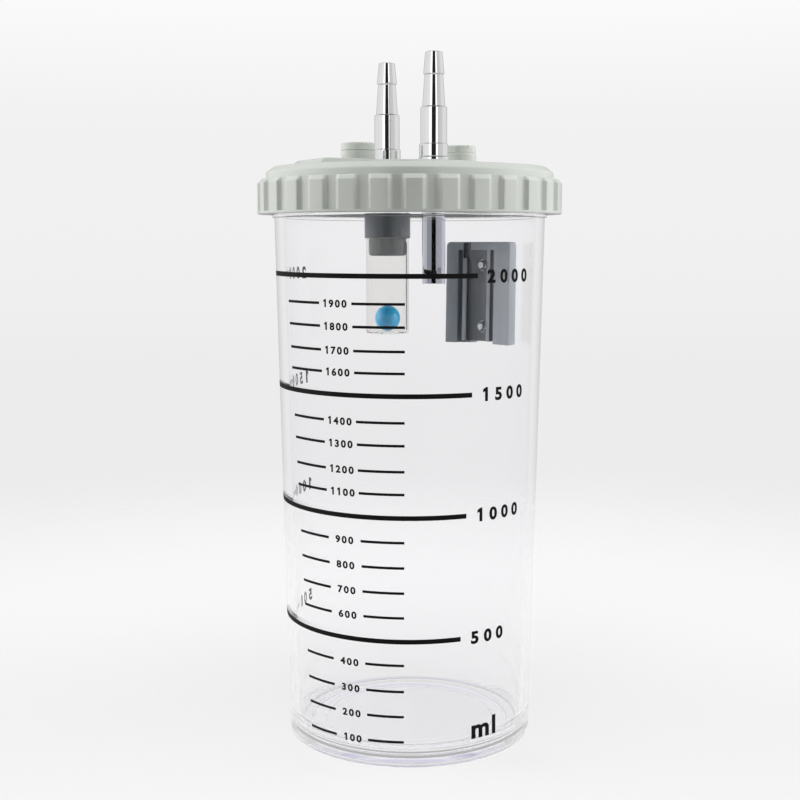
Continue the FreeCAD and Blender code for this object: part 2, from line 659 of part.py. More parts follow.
add_polygon(core, rectangle("-core_left", "-core_rib_left", core_low, core_top))
add_polygon(core, rectangle("-core_rib_left + core_rib_width", "core_rib_right", core_low,
                            core_top))
add_polygon(core, rectangle("core_rib_right + core_rib_width", "core_right", core_low, core_top))
extrude(bracket, "Pocket", core, None, reverse=True)
notch = new_sketch(bracket, "XZ", "bracket_notch", "-core_floor_y")
add_polygon(notch, rectangle("-notch_left", "-notch_left + notch_width",
                             "bracket_top_z - core_top_margin * 2",
                             "bracket_top_z + core_top_margin"))
extrude(bracket, "Pocket", notch, None, reverse=True)
relief = new_sketch(bracket, "XZ", "bracket_foot_relief", "-slot_floor_y")
add_polygon(relief, rectangle("-core_rib_left", "core_right", core_low,
                              "bracket_bottom_z + foot_relief"))
extrude(bracket, "Pocket", relief, None, reverse=True)
dovetail = new_sketch(bracket, "XY", "bracket_dovetail", "bracket_bottom_z - core_top_margin")
add_polygon(dovetail, [
    ("-slot_floor_width / 2", "slot_floor_y"),
    ("slot_floor_width / 2", "slot_floor_y"),
    ("slot_mouth_width / 2", "bracket_outer_y"),
    ("slot_mouth_width / 2", "bracket_outer_y + bracket_corner"),
    ("-slot_mouth_width / 2", "bracket_outer_y + bracket_corner"),
    ("-slot_mouth_width / 2", "bracket_outer_y"),
])
extrude(bracket, "Pocket", dovetail, "bracket_height + core_top_margin - slot_stop_margin",
        reverse=True)
screw_holes = new_sketch(bracket, "XZ", "bracket_screw_holes", "-slot_floor_y")
for height in ("screw_low_z", "screw_high_z"):
    add_circle(screw_holes, "0", height, "screw_head_radius + screw_gap")
extrude(bracket, "Pocket", screw_holes, "bracket_web", reverse=True)

# Bracket screws: countersunk heads in the web, shanks in the jar's posts
screws = []
for name, height in (("low", "screw_low_z"), ("high", "screw_high_z")):
    head = doc.addObject("Part::Cone", name + "_screw_head")
    head.setExpression("Radius1", bound("screw_head_radius"))
    head.setExpression("Radius2", bound("screw_radius"))
    head.setExpression("Height", bound("bracket_web - screw_gap"))
    shank = doc.addObject("Part::Cylinder", name + "_screw_shank")
    shank.setExpression("Radius", bound("screw_radius"))
    shank.setExpression("Height", bound("slot_floor_y - screw_end_y"))
    for piece in (head, shank):
        piece.Placement = FreeCAD.Placement(FreeCAD.Vector(),
                                            FreeCAD.Rotation(FreeCAD.Vector(1, 0, 0), 90))
        piece.setExpression("Placement.Base.y", bound("slot_floor_y"))
        piece.setExpression("Placement.Base.z", bound(height))
    screw = doc.addObject("Part::Fuse", name + "_screw")
    screw.Base = head
    screw.Tool = shank
    screws.append(screw)
bracket_screws = doc.addObject("Part::Compound", "bracket_screws")
bracket_screws.Label = "bracket_screws"
bracket_screws.Links = screws
sub_parts.append(bracket_screws)

doc.recompute()

faults = []
for item in doc.Objects:
    if "Invalid" in item.State or "Error" in item.State:
        faults.append("%s: %s" % (item.Name, item.State))
for item in sub_parts:
    shape = item.Shape
    if shape.isNull() or not shape.isValid() or shape.Volume <= 0:
        faults.append("%s: bad shape" % item.Label)
if faults:
    raise RuntimeError("; ".join(faults))

os.makedirs("parts", exist_ok=True)
for item in sub_parts:
    item.Shape.exportStep("parts/%s.step" % item.Label)
    print("%-16s %2d solid %10.1f mm3" % (item.Label, len(item.Shape.Solids), item.Shape.Volume))
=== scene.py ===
# %% [markdown]
# A ward suction canister, dressed for its portrait.
#
# The object is a clear jar for two litres with a printed scale, a pale screw ring with grip
# lobes, a lid plate with two polished hose nozzles, and a float valve and an inlet tube that
# hang inside the jar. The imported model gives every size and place. This script adds what the
# eye looks for: rounded mould edges, glassy walls, polished metal, ink and soft light.

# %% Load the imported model
import math

import bmesh
import bpy
from mathutils import Matrix, Vector


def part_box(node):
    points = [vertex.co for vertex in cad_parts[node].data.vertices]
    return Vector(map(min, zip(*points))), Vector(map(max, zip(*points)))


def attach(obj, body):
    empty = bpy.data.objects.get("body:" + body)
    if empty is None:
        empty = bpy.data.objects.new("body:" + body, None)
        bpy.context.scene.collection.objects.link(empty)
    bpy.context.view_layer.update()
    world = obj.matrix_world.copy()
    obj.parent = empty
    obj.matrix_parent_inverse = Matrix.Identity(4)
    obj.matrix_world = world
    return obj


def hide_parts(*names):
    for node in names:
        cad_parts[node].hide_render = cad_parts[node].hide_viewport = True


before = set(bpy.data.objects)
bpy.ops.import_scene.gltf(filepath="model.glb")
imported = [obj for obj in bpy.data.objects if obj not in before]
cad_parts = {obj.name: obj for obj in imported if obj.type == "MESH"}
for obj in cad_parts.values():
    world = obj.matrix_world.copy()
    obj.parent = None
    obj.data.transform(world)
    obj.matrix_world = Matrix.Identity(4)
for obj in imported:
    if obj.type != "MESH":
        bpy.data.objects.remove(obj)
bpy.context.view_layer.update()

MM = 0.001

# %% [markdown]
# Most pieces of this canister are turned forms, so a piece is known by a few numbers: where
# its axis stands, how far it reaches from that axis, and the heights of its two ends. They
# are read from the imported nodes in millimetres, and the outlines below start from them.

# %% Read a turned node's axis, radius and heights


class Reach:
    """Axis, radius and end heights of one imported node, in millimetres."""

    def __init__(self, node):
        low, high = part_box(node)
        self.x = (low.x + high.x) / 2 / MM
        self.y = (low.y + high.y) / 2 / MM
        self.radius = max(high.x - low.x, high.y - low.y) / 2 / MM
        self.bottom = low.z / MM
        self.top = high.z / MM


jar = Reach("jar")
ring = Reach("locking_ring")
lid = Reach("lid")
gasket = Reach("lid_gasket")
print("jar radius", round(jar.radius, 2), "height", round(jar.top, 2))
print("ring radius", round(ring.radius, 2), "from", round(ring.bottom, 2), "to", round(ring.top, 2))

# %% [markdown]
# Geometry Nodes trees and shader trees are both nodes with sockets and links. A small helper
# keeps their making short: it adds a node, sets its options, and either links a socket or
# writes a plain value into it. Math nodes get a helper of their own, because a turned form
# is mostly sums.

# %% Helpers that build node trees


def fill_socket(tree, socket, value):
    """Link a socket to another one, or give it a plain value."""
    if isinstance(value, bpy.types.NodeSocket):
        tree.links.new(value, socket)
    else:
        socket.default_value = value


def add_node(tree, kind, sockets=None, **options):
    """A node of this kind; sockets maps an input's name or number to a value or a socket."""
    node = tree.nodes.new(kind)
    for name, value in options.items():
        setattr(node, name, value)
    for key, value in (sockets or {}).items():
        fill_socket(tree, node.inputs[key], value)
    return node


def math_node(tree, operation, *values):
    """The result of one sum on sockets and numbers."""
    sockets = dict(enumerate(values))
    return add_node(tree, "ShaderNodeMath", sockets, operation=operation).outputs[0]


def map_range(tree, value, start, end, low=0.0, high=1.0, smooth=False):
    """Where the value lies between start and end, laid out between low and high."""
    sockets = {"Value": value, "From Min": start, "From Max": end, "To Min": low, "To Max": high}
    return add_node(tree, "ShaderNodeMapRange", sockets,
                    interpolation_type="SMOOTHSTEP" if smooth else "LINEAR").outputs[0]


def mixed_colour(tree, factor, first, second):
    """A colour between two others."""
    return add_node(tree, "ShaderNodeMix", {0: factor, 6: first, 7: second},
                    data_type="RGBA").outputs[2]


def geometry_tree(name, inputs):
    """A new geometry tree and its inputs; inputs maps a name to a socket kind."""
    tree = bpy.data.node_groups.new(name, "GeometryNodeTree")
    tree.interface.new_socket("Geometry", in_out="INPUT", socket_type="NodeSocketGeometry")
    for label, kind in inputs.items():
        tree.interface.new_socket(label, in_out="INPUT", socket_type=kind)
    tree.interface.new_socket("Geometry", in_out="OUTPUT", socket_type="NodeSocketGeometry")
    return tree, tree.nodes.new("NodeGroupInput").outputs


def close_tree(tree, geometry, material=None):
    """End a tree in plain mesh with its material, as an exported piece needs."""
    whole = add_node(tree, "GeometryNodeRealizeInstances", {"Geometry": geometry}).outputs[0]
    if material is not None:
        whole = add_node(tree, "GeometryNodeSetMaterial",
                         {"Geometry": whole, "Material": material}).outputs[0]
    tree.links.new(whole, tree.nodes.new("NodeGroupOutput").inputs[0])


def run_tree(tree, mesh, name, values):
    """Run a tree on a mesh with these named inputs and return the result as a plain object."""
    source = bpy.data.objects.new(name, mesh)
    bpy.context.scene.collection.objects.link(source)
    modifier = source.modifiers.new("nodes", "NODES")
    modifier.node_group = tree
    sockets = {item.name: item.identifier for item in tree.interface.items_tree
               if item.in_out == "INPUT"}
    for label, value in values.items():
        modifier[sockets[label]] = value
    depsgraph = bpy.context.evaluated_depsgraph_get()
    made = bpy.data.meshes.new_from_object(source.evaluated_get(depsgraph), depsgraph=depsgraph)
    source.modifiers.clear()
    source.data = made
    bpy.data.meshes.remove(mesh)
    # Mesh primitives in a tree leave an empty first slot, and the faces use the second one.
    while made.materials and made.materials[0] is None:
        made.materials.pop(index=0)
    return source


# %% [markdown]
# The turned form. A lathe needs half a section, so an outline here is a short list of corners:
# distance from the axis, height, and how far the corner is rounded. The Fillet Curve node
# rounds each corner by its own number, and then the section is swept round the axis by
# laying a grid over it: one grid line per section point, one column per step of the turn.
# A plain Screw modifier would do the same, but the grid can also carry the ring's grip
# lobes: a corner marked as lobed is pulled in to the root radius wherever a valley passes.

# %% Geometry Nodes tree for turned forms
TURNED_INPUTS = {
    "Corner Steps": "NodeSocketInt",
    "Turn Steps": "NodeSocketInt",
    "Closed Outline": "NodeSocketInt",
    "Lobes": "NodeSocketInt",
    "Root Radius": "NodeSocketFloat",
    "Valley Floor": "NodeSocketFloat",
    "Valley Mouth": "NodeSocketFloat",
    "Axis": "NodeSocketVector",
    "Material": "NodeSocketMaterial",
}
SEAM = 0.0005 * MM


def build_turned_tree():
    """Outline mesh in, turned mesh out."""
    tree, given = geometry_tree("turned_form", TURNED_INPUTS)
    rounding = add_node(tree, "GeometryNodeInputNamedAttribute", {"Name": "rounding"},
                        data_type="FLOAT").outputs[0]
    section = add_node(tree, "GeometryNodeMeshToCurve", {"Mesh": given["Geometry"]}).outputs[0]
    section = add_node(tree, "GeometryNodeFilletCurve",
                       {"Curve": section, "Count": given["Corner Steps"], "Radius": rounding,
                        "Limit Radius": True}, mode="POLY").outputs[0]
    section = add_node(tree, "GeometryNodeCurveToMesh", {"Curve": section}).outputs[0]
    count = add_node(tree, "GeometryNodeAttributeDomainSize", {"Geometry": section},
                     component="MESH").outputs["Point Count"]
    rows = math_node(tree, "ADD", count, given["Closed Outline"])
    columns = math_node(tree, "ADD", given["Turn Steps"], 1.0)
    grid = add_node(tree, "GeometryNodeMeshGrid", {"Vertices X": columns, "Vertices Y": rows})
    index = tree.nodes.new("GeometryNodeInputIndex").outputs[0]
    column = math_node(tree, "FLOOR", math_node(tree, "DIVIDE", index, rows))
    row = math_node(tree, "SUBTRACT", index, math_node(tree, "MULTIPLY", column, rows))
    point = math_node(tree, "MODULO", row, count)
    position = tree.nodes.new("GeometryNodeInputPosition").outputs[0]
    place = add_node(tree, "GeometryNodeSampleIndex", data_type="FLOAT_VECTOR")
    lobed = add_node(tree, "GeometryNodeSampleIndex", data_type="FLOAT")
    lobed_name = add_node(tree, "GeometryNodeInputNamedAttribute", {"Name": "lobed"},
                          data_type="FLOAT").outputs[0]
    for sample, value in ((place, position), (lobed, lobed_name)):
        fill_socket(tree, sample.inputs["Geometry"], section)
        fill_socket(tree, sample.inputs["Value"], value)
        fill_socket(tree, sample.inputs["Index"], point)
    corner = add_node(tree, "ShaderNodeSeparateXYZ", {0: place.outputs[0]}).outputs
    radius, height = corner["X"], corner["Z"]
    turn = math_node(tree, "DIVIDE", column, given["Turn Steps"])
    lobe = math_node(tree, "FRACT", math_node(tree, "MULTIPLY", turn, given["Lobes"]))
    from_valley = math_node(tree, "MINIMUM", lobe, math_node(tree, "SUBTRACT", 1.0, lobe))
    around = math_node(tree, "MULTIPLY", radius, math.tau)
    width = math_node(tree, "DIVIDE", math_node(tree, "MULTIPLY", from_valley, around),
                      math_node(tree, "MAXIMUM", given["Lobes"], 1.0))
    valley = map_range(tree, width, given["Valley Floor"], given["Valley Mouth"], 1.0, 0.0,
                       smooth=True)
    proud = math_node(tree, "MAXIMUM", math_node(tree, "SUBTRACT", radius,
                                                 given["Root Radius"]), 0.0)
    pull = math_node(tree, "MULTIPLY", math_node(tree, "MULTIPLY", proud, valley),
                     lobed.outputs[0])
    radius = math_node(tree, "SUBTRACT", radius, pull)
    angle = math_node(tree, "MULTIPLY", turn, math.tau)
    spun = add_node(tree, "ShaderNodeCombineXYZ", {
        "X": math_node(tree, "MULTIPLY", radius, math_node(tree, "COSINE", angle)),
        "Y": math_node(tree, "MULTIPLY", radius, math_node(tree, "SINE", angle)),
        "Z": height}).outputs[0]
    placed = add_node(tree, "ShaderNodeVectorMath", {0: spun, 1: given["Axis"]},
                      operation="ADD").outputs[0]
    shell = add_node(tree, "GeometryNodeSetPosition",
                     {"Geometry": grid.outputs["Mesh"], "Position": placed}).outputs[0]
    shell = add_node(tree, "GeometryNodeMergeByDistance",
                     {"Geometry": shell, "Distance": SEAM}).outputs[0]
    close_tree(tree, shell, given["Material"])
    return tree


turned_tree = build_turned_tree()
print("turned tree:", len(turned_tree.nodes), "nodes")

# %% [markdown]
# A rounded corner next to a long straight wall spoils the shading of the whole wall, because
# the wall's end shares its normal with the round. Each rounded corner therefore gets two
# support points, one on each side, just past the place where its round ends.

# %% Outline and turning helpers
SUPPORT_GAP = 0.25
# A side needs this many times the reach in length before it gets a support point.
SUPPORT_ROOM = 2.2
SMOOTH_ANGLE = math.radians(32)


def corner_of(entry):
    """An outline entry as radius, height, rounding and lobed, with the last two optional."""
    return (tuple(entry) + (0.0, 0.0))[:4]


def with_supports(outline, closed):
    """The outline with a support point on each side of every rounded corner."""
    corners = [corner_of(entry) for entry in outline]
    count = len(corners)
    result = []
    for i, (radius, height, rounding, lobed) in enumerate(corners):
        here = Vector((radius, height))
        sides = []
        for step in (-1, 1):
            j = i + step
            if closed or 0 <= j < count:
                sides.append(Vector(corners[j % count][:2]) - here)
        if rounding <= 0.0 or len(sides) < 2:
            result.append((radius, height, 0.0, lobed))
            continue
        turn = math.pi - sides[0].angle(sides[1])
        reach = rounding * math.tan(turn / 2) + SUPPORT_GAP
        before, after = (here + side.normalized() * reach
                         if side.length > SUPPORT_ROOM * reach else None for side in sides)
        if before:
            result.append((before.x, before.y, 0.0, lobed))
        result.append((radius, height, rounding, lobed))
        if after:
            result.append((after.x, after.y, 0.0, lobed))
    return result


def outline_mesh(name, corners, closed):
    """The section as a chain of edges that carries its rounding and lobe marks."""
    count = len(corners)
    points = [(radius * MM, 0.0, height * MM) for radius, height, _, _ in corners]
    edges = [(i, (i + 1) % count) for i in range(count if closed else count - 1)]
    mesh = bpy.data.meshes.new(name + "_outline")
    mesh.from_pydata(points, edges, [])
    for label, place, scale in (("rounding", 2, MM), ("lobed", 3, 1.0)):
        marks = mesh.attributes.new(label, "FLOAT", "POINT")
        marks.data.foreach_set("value", [corner[place] * scale for corner in corners])
    return mesh


def tidy_shell(piece):
    """Point the faces outwards and shade smooth except across real edges."""
    shape = bmesh.new()
    shape.from_mesh(piece.data)
    bmesh.ops.recalc_face_normals(shape, faces=shape.faces)
    shape.to_mesh(piece.data)
    shape.free()
    piece.data.shade_smooth()
    piece.data.set_sharp_from_angle(angle=SMOOTH_ANGLE)
    return piece


def turned(name, outline, material, axis=(0.0, 0.0), closed=True, steps=128, corner_steps=6,
           lobes=0, root=0.0, valley=(0.0, 1.0)):
    """A turned piece. An open outline starts and ends on the axis; lengths in millimetres."""
    corners = with_supports(outline, closed)
    return tidy_shell(run_tree(turned_tree, outline_mesh(name, corners, closed), name, {
        "Corner Steps": corner_steps,
        "Turn Steps": steps,
        "Closed Outline": 1 if closed else 0,
        "Lobes": lobes,
        "Root Radius": root * MM,
        "Valley Floor": valley[0] * MM,
        "Valley Mouth": valley[1] * MM,
        "Axis": (axis[0] * MM, axis[1] * MM, 0.0),
        "Material": material,
    }))


def rod(name, radius, low, high, material, rounding=0.0, axis=(0.0, 0.0), steps=96):
    """An upright rod, whose top edge may be rounded."""
    return turned(name, [(0.0, low), (radius, low), (radius, high, rounding), (0.0, high)],
                  material, axis=axis, closed=False, steps=steps)


def joined(name, parts):
    """Several meshes of one moulding as one object; the parts are used up."""
    whole = bmesh.new()
    for part in parts:
        whole.from_mesh(part.data)
    mesh = bpy.data.meshes.new(name)
    whole.to_mesh(mesh)
    whole.free()
    mesh.materials.append(parts[0].data.materials[0])
    for part in parts:
        bpy.data.objects.remove(part)
    piece = bpy.data.objects.new(name, mesh)
    bpy.context.scene.collection.objects.link(piece)
    return tidy_shell(piece)


def dressed(piece, body, slot, *nodes):
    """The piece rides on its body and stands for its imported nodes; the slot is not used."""
    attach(piece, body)
    if nodes:
        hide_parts(*nodes)
    print(piece.name, "faces", len(piece.data.polygons))
    return piece


# %% [markdown]
# Finishes. Real mouldings are never one flat colour: the tool leaves a fine grain, the gloss
# drifts a little across the surface, and handled faces pick up faint marks. One node group
# gives these to every solid finish as a varied colour, a varied roughness and a bumped
# normal. Shaders stay outside the group, in each material.

# %% Shared surface group
CLOUD_SIZE = 38.0
GLOSS_SIZE = 90.0
# Noise seldom leaves this band of its values.
NOISE_BAND = (0.3, 0.7)


def srgb(red, green, blue):
    """A colour written in screen values from 0 to 255, as the shader's linear colour."""
    linear = [((v / 255 + 0.055) / 1.055) ** 2.4 if v > 10 else v / 255 / 12.92
              for v in (red, green, blue)]
    return (*linear, 1.0)


def build_surface_group():
    """Cloudy colour and gloss over fine grain, on Object coordinates."""
    group = bpy.data.node_groups.new("moulded_surface", "ShaderNodeTree")
    for label, kind in (("Colour", "NodeSocketColor"), ("Cloud", "NodeSocketFloat"),
                        ("Gloss Low", "NodeSocketFloat"), ("Gloss High", "NodeSocketFloat"),
                        ("Grain Size", "NodeSocketFloat"), ("Grain Depth", "NodeSocketFloat")):
        group.interface.new_socket(label, in_out="INPUT", socket_type=kind)
    for label, kind in (("Colour", "NodeSocketColor"), ("Roughness", "NodeSocketFloat"),
                        ("Normal", "NodeSocketVector")):
        group.interface.new_socket(label, in_out="OUTPUT", socket_type=kind)
    given = group.nodes.new("NodeGroupInput").outputs
    place = group.nodes.new("ShaderNodeTexCoord").outputs["Object"]
    cloud = add_node(group, "ShaderNodeTexNoise",
                     {"Vector": place, "Scale": CLOUD_SIZE, "Detail": 3.0}).outputs[0]
    shade = map_range(group, cloud, *NOISE_BAND,
                      math_node(group, "SUBTRACT", 1.0, given["Cloud"]), 1.0)
    colour = add_node(group, "ShaderNodeVectorMath", {0: given["Colour"], "Scale": shade},
                      operation="SCALE").outputs[0]
    gloss = add_node(group, "ShaderNodeTexNoise",
                     {"Vector": place, "Scale": GLOSS_SIZE, "Detail": 4.0}).outputs[0]
    rough = map_range(group, gloss, *NOISE_BAND, given["Gloss Low"], given["Gloss High"])
    grain = add_node(group, "ShaderNodeTexNoise",
                     {"Vector": place, "Scale": given["Grain Size"], "Detail": 2.0}).outputs[0]
    bump = add_node(group, "ShaderNodeBump",
                    {"Strength": 1.0, "Distance": given["Grain Depth"],
                     "Height": grain}).outputs[0]
    result = group.nodes.new("NodeGroupOutput")
    for label, value in (("Colour", colour), ("Roughness", rough), ("Normal", bump)):
        fill_socket(group, result.inputs[label], value)
    return group


surface_group = build_surface_group()


def surfaced(name, colour, gloss, cloud=0.06, grain_size=1800.0, grain_depth=0.00001, **sockets):
    """A material whose colour, roughness and normal come from the shared surface group."""
    material = bpy.data.materials.new(name)
    material.use_nodes = True
    tree = material.node_tree
    shader = tree.nodes["Principled BSDF"]
    surface = add_node(tree, "ShaderNodeGroup", node_tree=surface_group)
    for label, value in (("Colour", colour), ("Cloud", cloud), ("Gloss Low", gloss[0]),
                         ("Gloss High", gloss[1]), ("Grain Size", grain_size),
                         ("Grain Depth", grain_depth)):
        surface.inputs[label].default_value = value
    for result, socket in (("Colour", "Base Color"), ("Roughness", "Roughness"),
                           ("Normal", "Normal")):
        tree.links.new(surface.outputs[result], shader.inputs[socket])
    for label, value in sockets.items():
        shader.inputs[label.replace("_", " ")].default_value = value
    return material


# %% [markdown]
# The solid finishes: pale grey plastic for ring and lid, two darker greys for the bracket and
# the valve holder, polished plating for nozzles and tube, duller metal for nuts and screws,
# rubber for seals, blue for the float, and a dense black ink for the scale.

# %% Solid finishes
pale_plastic = surfaced("pale_grey_plastic", srgb(205, 209, 203), (0.20, 0.27))
grey_plastic = surfaced("mid_grey_plastic", srgb(160, 167, 175), (0.32, 0.45), cloud=0.10)
holder_plastic = surfaced("holder_grey_plastic", srgb(92, 98, 101), (0.26, 0.34), cloud=0.08,
                          IOR=2.2)
plating = surfaced("polished_plating", srgb(230, 230, 231), (0.03, 0.08), cloud=0.02,
                   grain_size=400.0, grain_depth=0.000001, Metallic=1.0)
nut_plating = surfaced("nut_plating", srgb(186, 188, 190), (0.20, 0.32), Metallic=1.0)
screw_steel = surfaced("screw_steel", srgb(196, 198, 200), (0.22, 0.35), Metallic=1.0)
rubber = surfaced("seal_rubber", srgb(222, 223, 220), (0.55, 0.75), grain_depth=0.00003)
float_blue = surfaced("float_blue", srgb(22, 194, 255), (0.26, 0.36), cloud=0.05, IOR=2.0)
ink = surfaced("scale_ink", srgb(4, 4, 5), (0.60, 0.75), cloud=0.15,
               Specular_IOR_Level=0.12)
print("solid finishes:", len(bpy.data.materials))

# %% [markdown]
# Clear plastic is a Principled shader with full transmission. Light can't find its way through
# such glass in a path tracer without costly caustics, so shadow rays and diffuse rays are let
# through by a Transparent shader, chosen with Light Path. The same shader frees rays that have
# bounced inside the wall several times, which would otherwise end in black bands. A very slow
# bump gives the faint waviness that a moulded wall has.

# %% Clear finishes
CLEAR_ROUGHNESS = 0.015
TRAPPED_AFTER = 2.5
# Polished walls seen square on add almost no veil of their own in the picture.
QUIET_FRONT = (0.05, 0.05, 0.05, 1.0)


def clear_plastic(name, tint, lamp_tint, wave_size, wave_depth, bending):
    """Clear moulded plastic with a faint wave in its wall."""
    material = bpy.data.materials.new(name)
    material.use_nodes = True
    tree = material.node_tree
    shader = tree.nodes["Principled BSDF"]
    for label, value in (("Base Color", tint), ("Roughness", CLEAR_ROUGHNESS), ("IOR", bending),
                         ("Transmission Weight", 1.0), ("Specular Tint", QUIET_FRONT)):
        shader.inputs[label].default_value = value
    place = tree.nodes.new("ShaderNodeTexCoord").outputs["Object"]
    wave = add_node(tree, "ShaderNodeTexNoise",
                    {"Vector": place, "Scale": wave_size, "Detail": 1.0}).outputs[0]
    bump = add_node(tree, "ShaderNodeBump", {"Strength": 1.0, "Distance": wave_depth,
                                             "Height": wave}).outputs[0]
    tree.links.new(bump, shader.inputs["Normal"])
    path = tree.nodes.new("ShaderNodeLightPath").outputs
    lamp_path = math_node(tree, "MAXIMUM", path["Is Shadow Ray"], path["Is Diffuse Ray"])
    trapped = math_node(tree, "GREATER_THAN", path["Glossy Depth"], TRAPPED_AFTER)
    lamp_path = math_node(tree, "MAXIMUM", lamp_path, trapped)
    through = add_node(tree, "ShaderNodeBsdfTransparent", {"Color": lamp_tint}).outputs[0]
    mix = add_node(tree, "ShaderNodeMixShader", {0: lamp_path, 1: shader.outputs[0], 2: through})
    tree.links.new(mix.outputs[0], tree.nodes["Material Output"].inputs["Surface"])
    return material


clear_jar = clear_plastic("clear_jar_plastic", (0.985, 0.982, 0.990, 1.0),
                          (0.99, 0.99, 0.99, 1.0), 22.0, 0.00004, 1.57)
clear_cage = clear_plastic("clear_cage_plastic", (0.935, 0.930, 0.920, 1.0),
                           (0.97, 0.97, 0.97, 1.0), 60.0, 0.00001, 1.18)

# %% [markdown]
# The thick plastic round the foot looks a little lavender in the picture. The colour mixed in there
# is partly that real lavender tint and partly painted shade, darker than the tint alone, standing in
# for the shade of the thick foot. A tint of the whole jar would colour the wall too, so this second
# colour is mixed in by height and by distance from the axis.

# %% Tint and painted shade of the foot
# A real lavender tint of thick plastic, made darker as painted shade of the foot.
FOOT_TINT_AND_SHADE = (0.70, 0.68, 0.81, 1.0)
FOOT_HEIGHTS = (0.0019, 0.0012)
FOOT_RADII = (0.036, 0.040)


def tint_foot(material):
    """Deepen the clear plastic's colour in the thick ring round the foot, as a lavender tint with
    painted shade.
    """
    tree = material.node_tree
    base = tree.nodes["Principled BSDF"].inputs["Base Color"]
    place = tree.nodes.new("ShaderNodeTexCoord").outputs["Object"]
    axes = add_node(tree, "ShaderNodeSeparateXYZ", {0: place}).outputs
    flat = add_node(tree, "ShaderNodeCombineXYZ", {0: axes["X"], 1: axes["Y"]}).outputs[0]
    radius = add_node(tree, "ShaderNodeVectorMath", {0: flat},
                      operation="LENGTH").outputs["Value"]
    thick = math_node(tree, "MULTIPLY", map_range(tree, axes["Z"], *FOOT_HEIGHTS),
                      map_range(tree, radius, *FOOT_RADII))
    wall_tint = tuple(base.default_value)
    tree.links.new(mixed_colour(tree, thick, wall_tint, FOOT_TINT_AND_SHADE), base)


tint_foot(clear_jar)

# %% [markdown]
# The screw thread. It is one flank profile swept along a spiral. Spiral and Curve to Mesh
# nodes could make it, but here a grid is laid along the spiral, one row for each corner of
# the profile, because the profile can then shrink to nothing at both ends, which is how a
# moulded thread runs out. The jar carries it outside and the ring inside, so the depth may be
# positive or negative.

# %% Geometry Nodes tree for a screw thread
THREAD_INPUTS = {
    "Radius": "NodeSocketFloat",
    "Depth": "NodeSocketFloat",
    "Root Half Width": "NodeSocketFloat",
    "Crest Half Width": "NodeSocketFloat",
    "Pitch": "NodeSocketFloat",
    "Turns": "NodeSocketFloat",
    "Start Height": "NodeSocketFloat",
    "Steps": "NodeSocketInt",
    "Run Out": "NodeSocketFloat",
    "Material": "NodeSocketMaterial",
}
PROFILE_POINTS = 4


def build_thread_tree():
    """A grid whose rows are the profile's four corners, laid along the spiral."""
    tree, given = geometry_tree("screw_thread", THREAD_INPUTS)
    grid = add_node(tree, "GeometryNodeMeshGrid",
                    {"Vertices X": given["Steps"], "Vertices Y": PROFILE_POINTS + 1})
    index = tree.nodes.new("GeometryNodeInputIndex").outputs[0]
    rows = float(PROFILE_POINTS + 1)
    column = math_node(tree, "FLOOR", math_node(tree, "DIVIDE", index, rows))
    row = math_node(tree, "SUBTRACT", index, math_node(tree, "MULTIPLY", column, rows))
    last = math_node(tree, "SUBTRACT", given["Steps"], 1.0)
    share = math_node(tree, "DIVIDE", column, last)
    to_end = math_node(tree, "MINIMUM", share, math_node(tree, "SUBTRACT", 1.0, share))
    grown = map_range(tree, to_end, 0.0, given["Run Out"], smooth=True)
    # Rows 0 and 3 lie on the wall, 1 and 2 on the crest, and row 4 closes the loop on row 0.
    on_crest = math_node(tree, "COMPARE", row, 1.5, 0.6)
    below = math_node(tree, "LESS_THAN", math_node(tree, "ABSOLUTE",
                      math_node(tree, "SUBTRACT", row, 2.5)), 1.1)
    side = math_node(tree, "SUBTRACT", math_node(tree, "MULTIPLY", below, 2.0), 1.0)
    narrower = math_node(tree, "SUBTRACT", given["Crest Half Width"], given["Root Half Width"])
    half = math_node(tree, "ADD", given["Root Half Width"],
                     math_node(tree, "MULTIPLY", on_crest, narrower))
    lift = math_node(tree, "MULTIPLY", math_node(tree, "MULTIPLY", side, half), grown)
    reach = math_node(tree, "MULTIPLY", math_node(tree, "MULTIPLY", on_crest, given["Depth"]),
                      grown)
    radius = math_node(tree, "ADD", given["Radius"], reach)
    turns = math_node(tree, "MULTIPLY", share, given["Turns"])
    angle = math_node(tree, "MULTIPLY", turns, math.tau)
    rise = math_node(tree, "ADD", math_node(tree, "MULTIPLY", turns, given["Pitch"]),
                     given["Start Height"])
    place = add_node(tree, "ShaderNodeCombineXYZ", {
        "X": math_node(tree, "MULTIPLY", radius, math_node(tree, "COSINE", angle)),
        "Y": math_node(tree, "MULTIPLY", radius, math_node(tree, "SINE", angle)),
        "Z": math_node(tree, "ADD", rise, lift)}).outputs[0]
    strip = add_node(tree, "GeometryNodeSetPosition",
                     {"Geometry": grid.outputs["Mesh"], "Position": place}).outputs[0]
    strip = add_node(tree, "GeometryNodeMergeByDistance",
                     {"Geometry": strip, "Distance": SEAM}).outputs[0]
    close_tree(tree, strip, given["Material"])
    return tree


thread_tree = build_thread_tree()
THREAD_PITCH = 5.0
THREAD_TURNS = 1.5
THREAD_DEPTH = 2.0
THREAD_ROOT = 1.3
THREAD_CREST = 0.6
THREAD_STEPS = 240
THREAD_RUN_OUT = 0.05


def thread(name, radius, depth, start_height, material):
    """One thread ridge on a wall of this radius; a negative depth points inwards."""
    ridge = run_tree(thread_tree, bpy.data.meshes.new(name + "_seed"), name, {
        "Radius": radius * MM,
        "Depth": depth * MM,
        "Root Half Width": THREAD_ROOT * MM,
        "Crest Half Width": THREAD_CREST * MM,
        "Pitch": THREAD_PITCH * MM,
        "Turns": THREAD_TURNS,
        "Start Height": start_height * MM,
        "Steps": THREAD_STEPS,
        "Run Out": THREAD_RUN_OUT,
        "Material": material,
    })
    return tidy_shell(ridge)


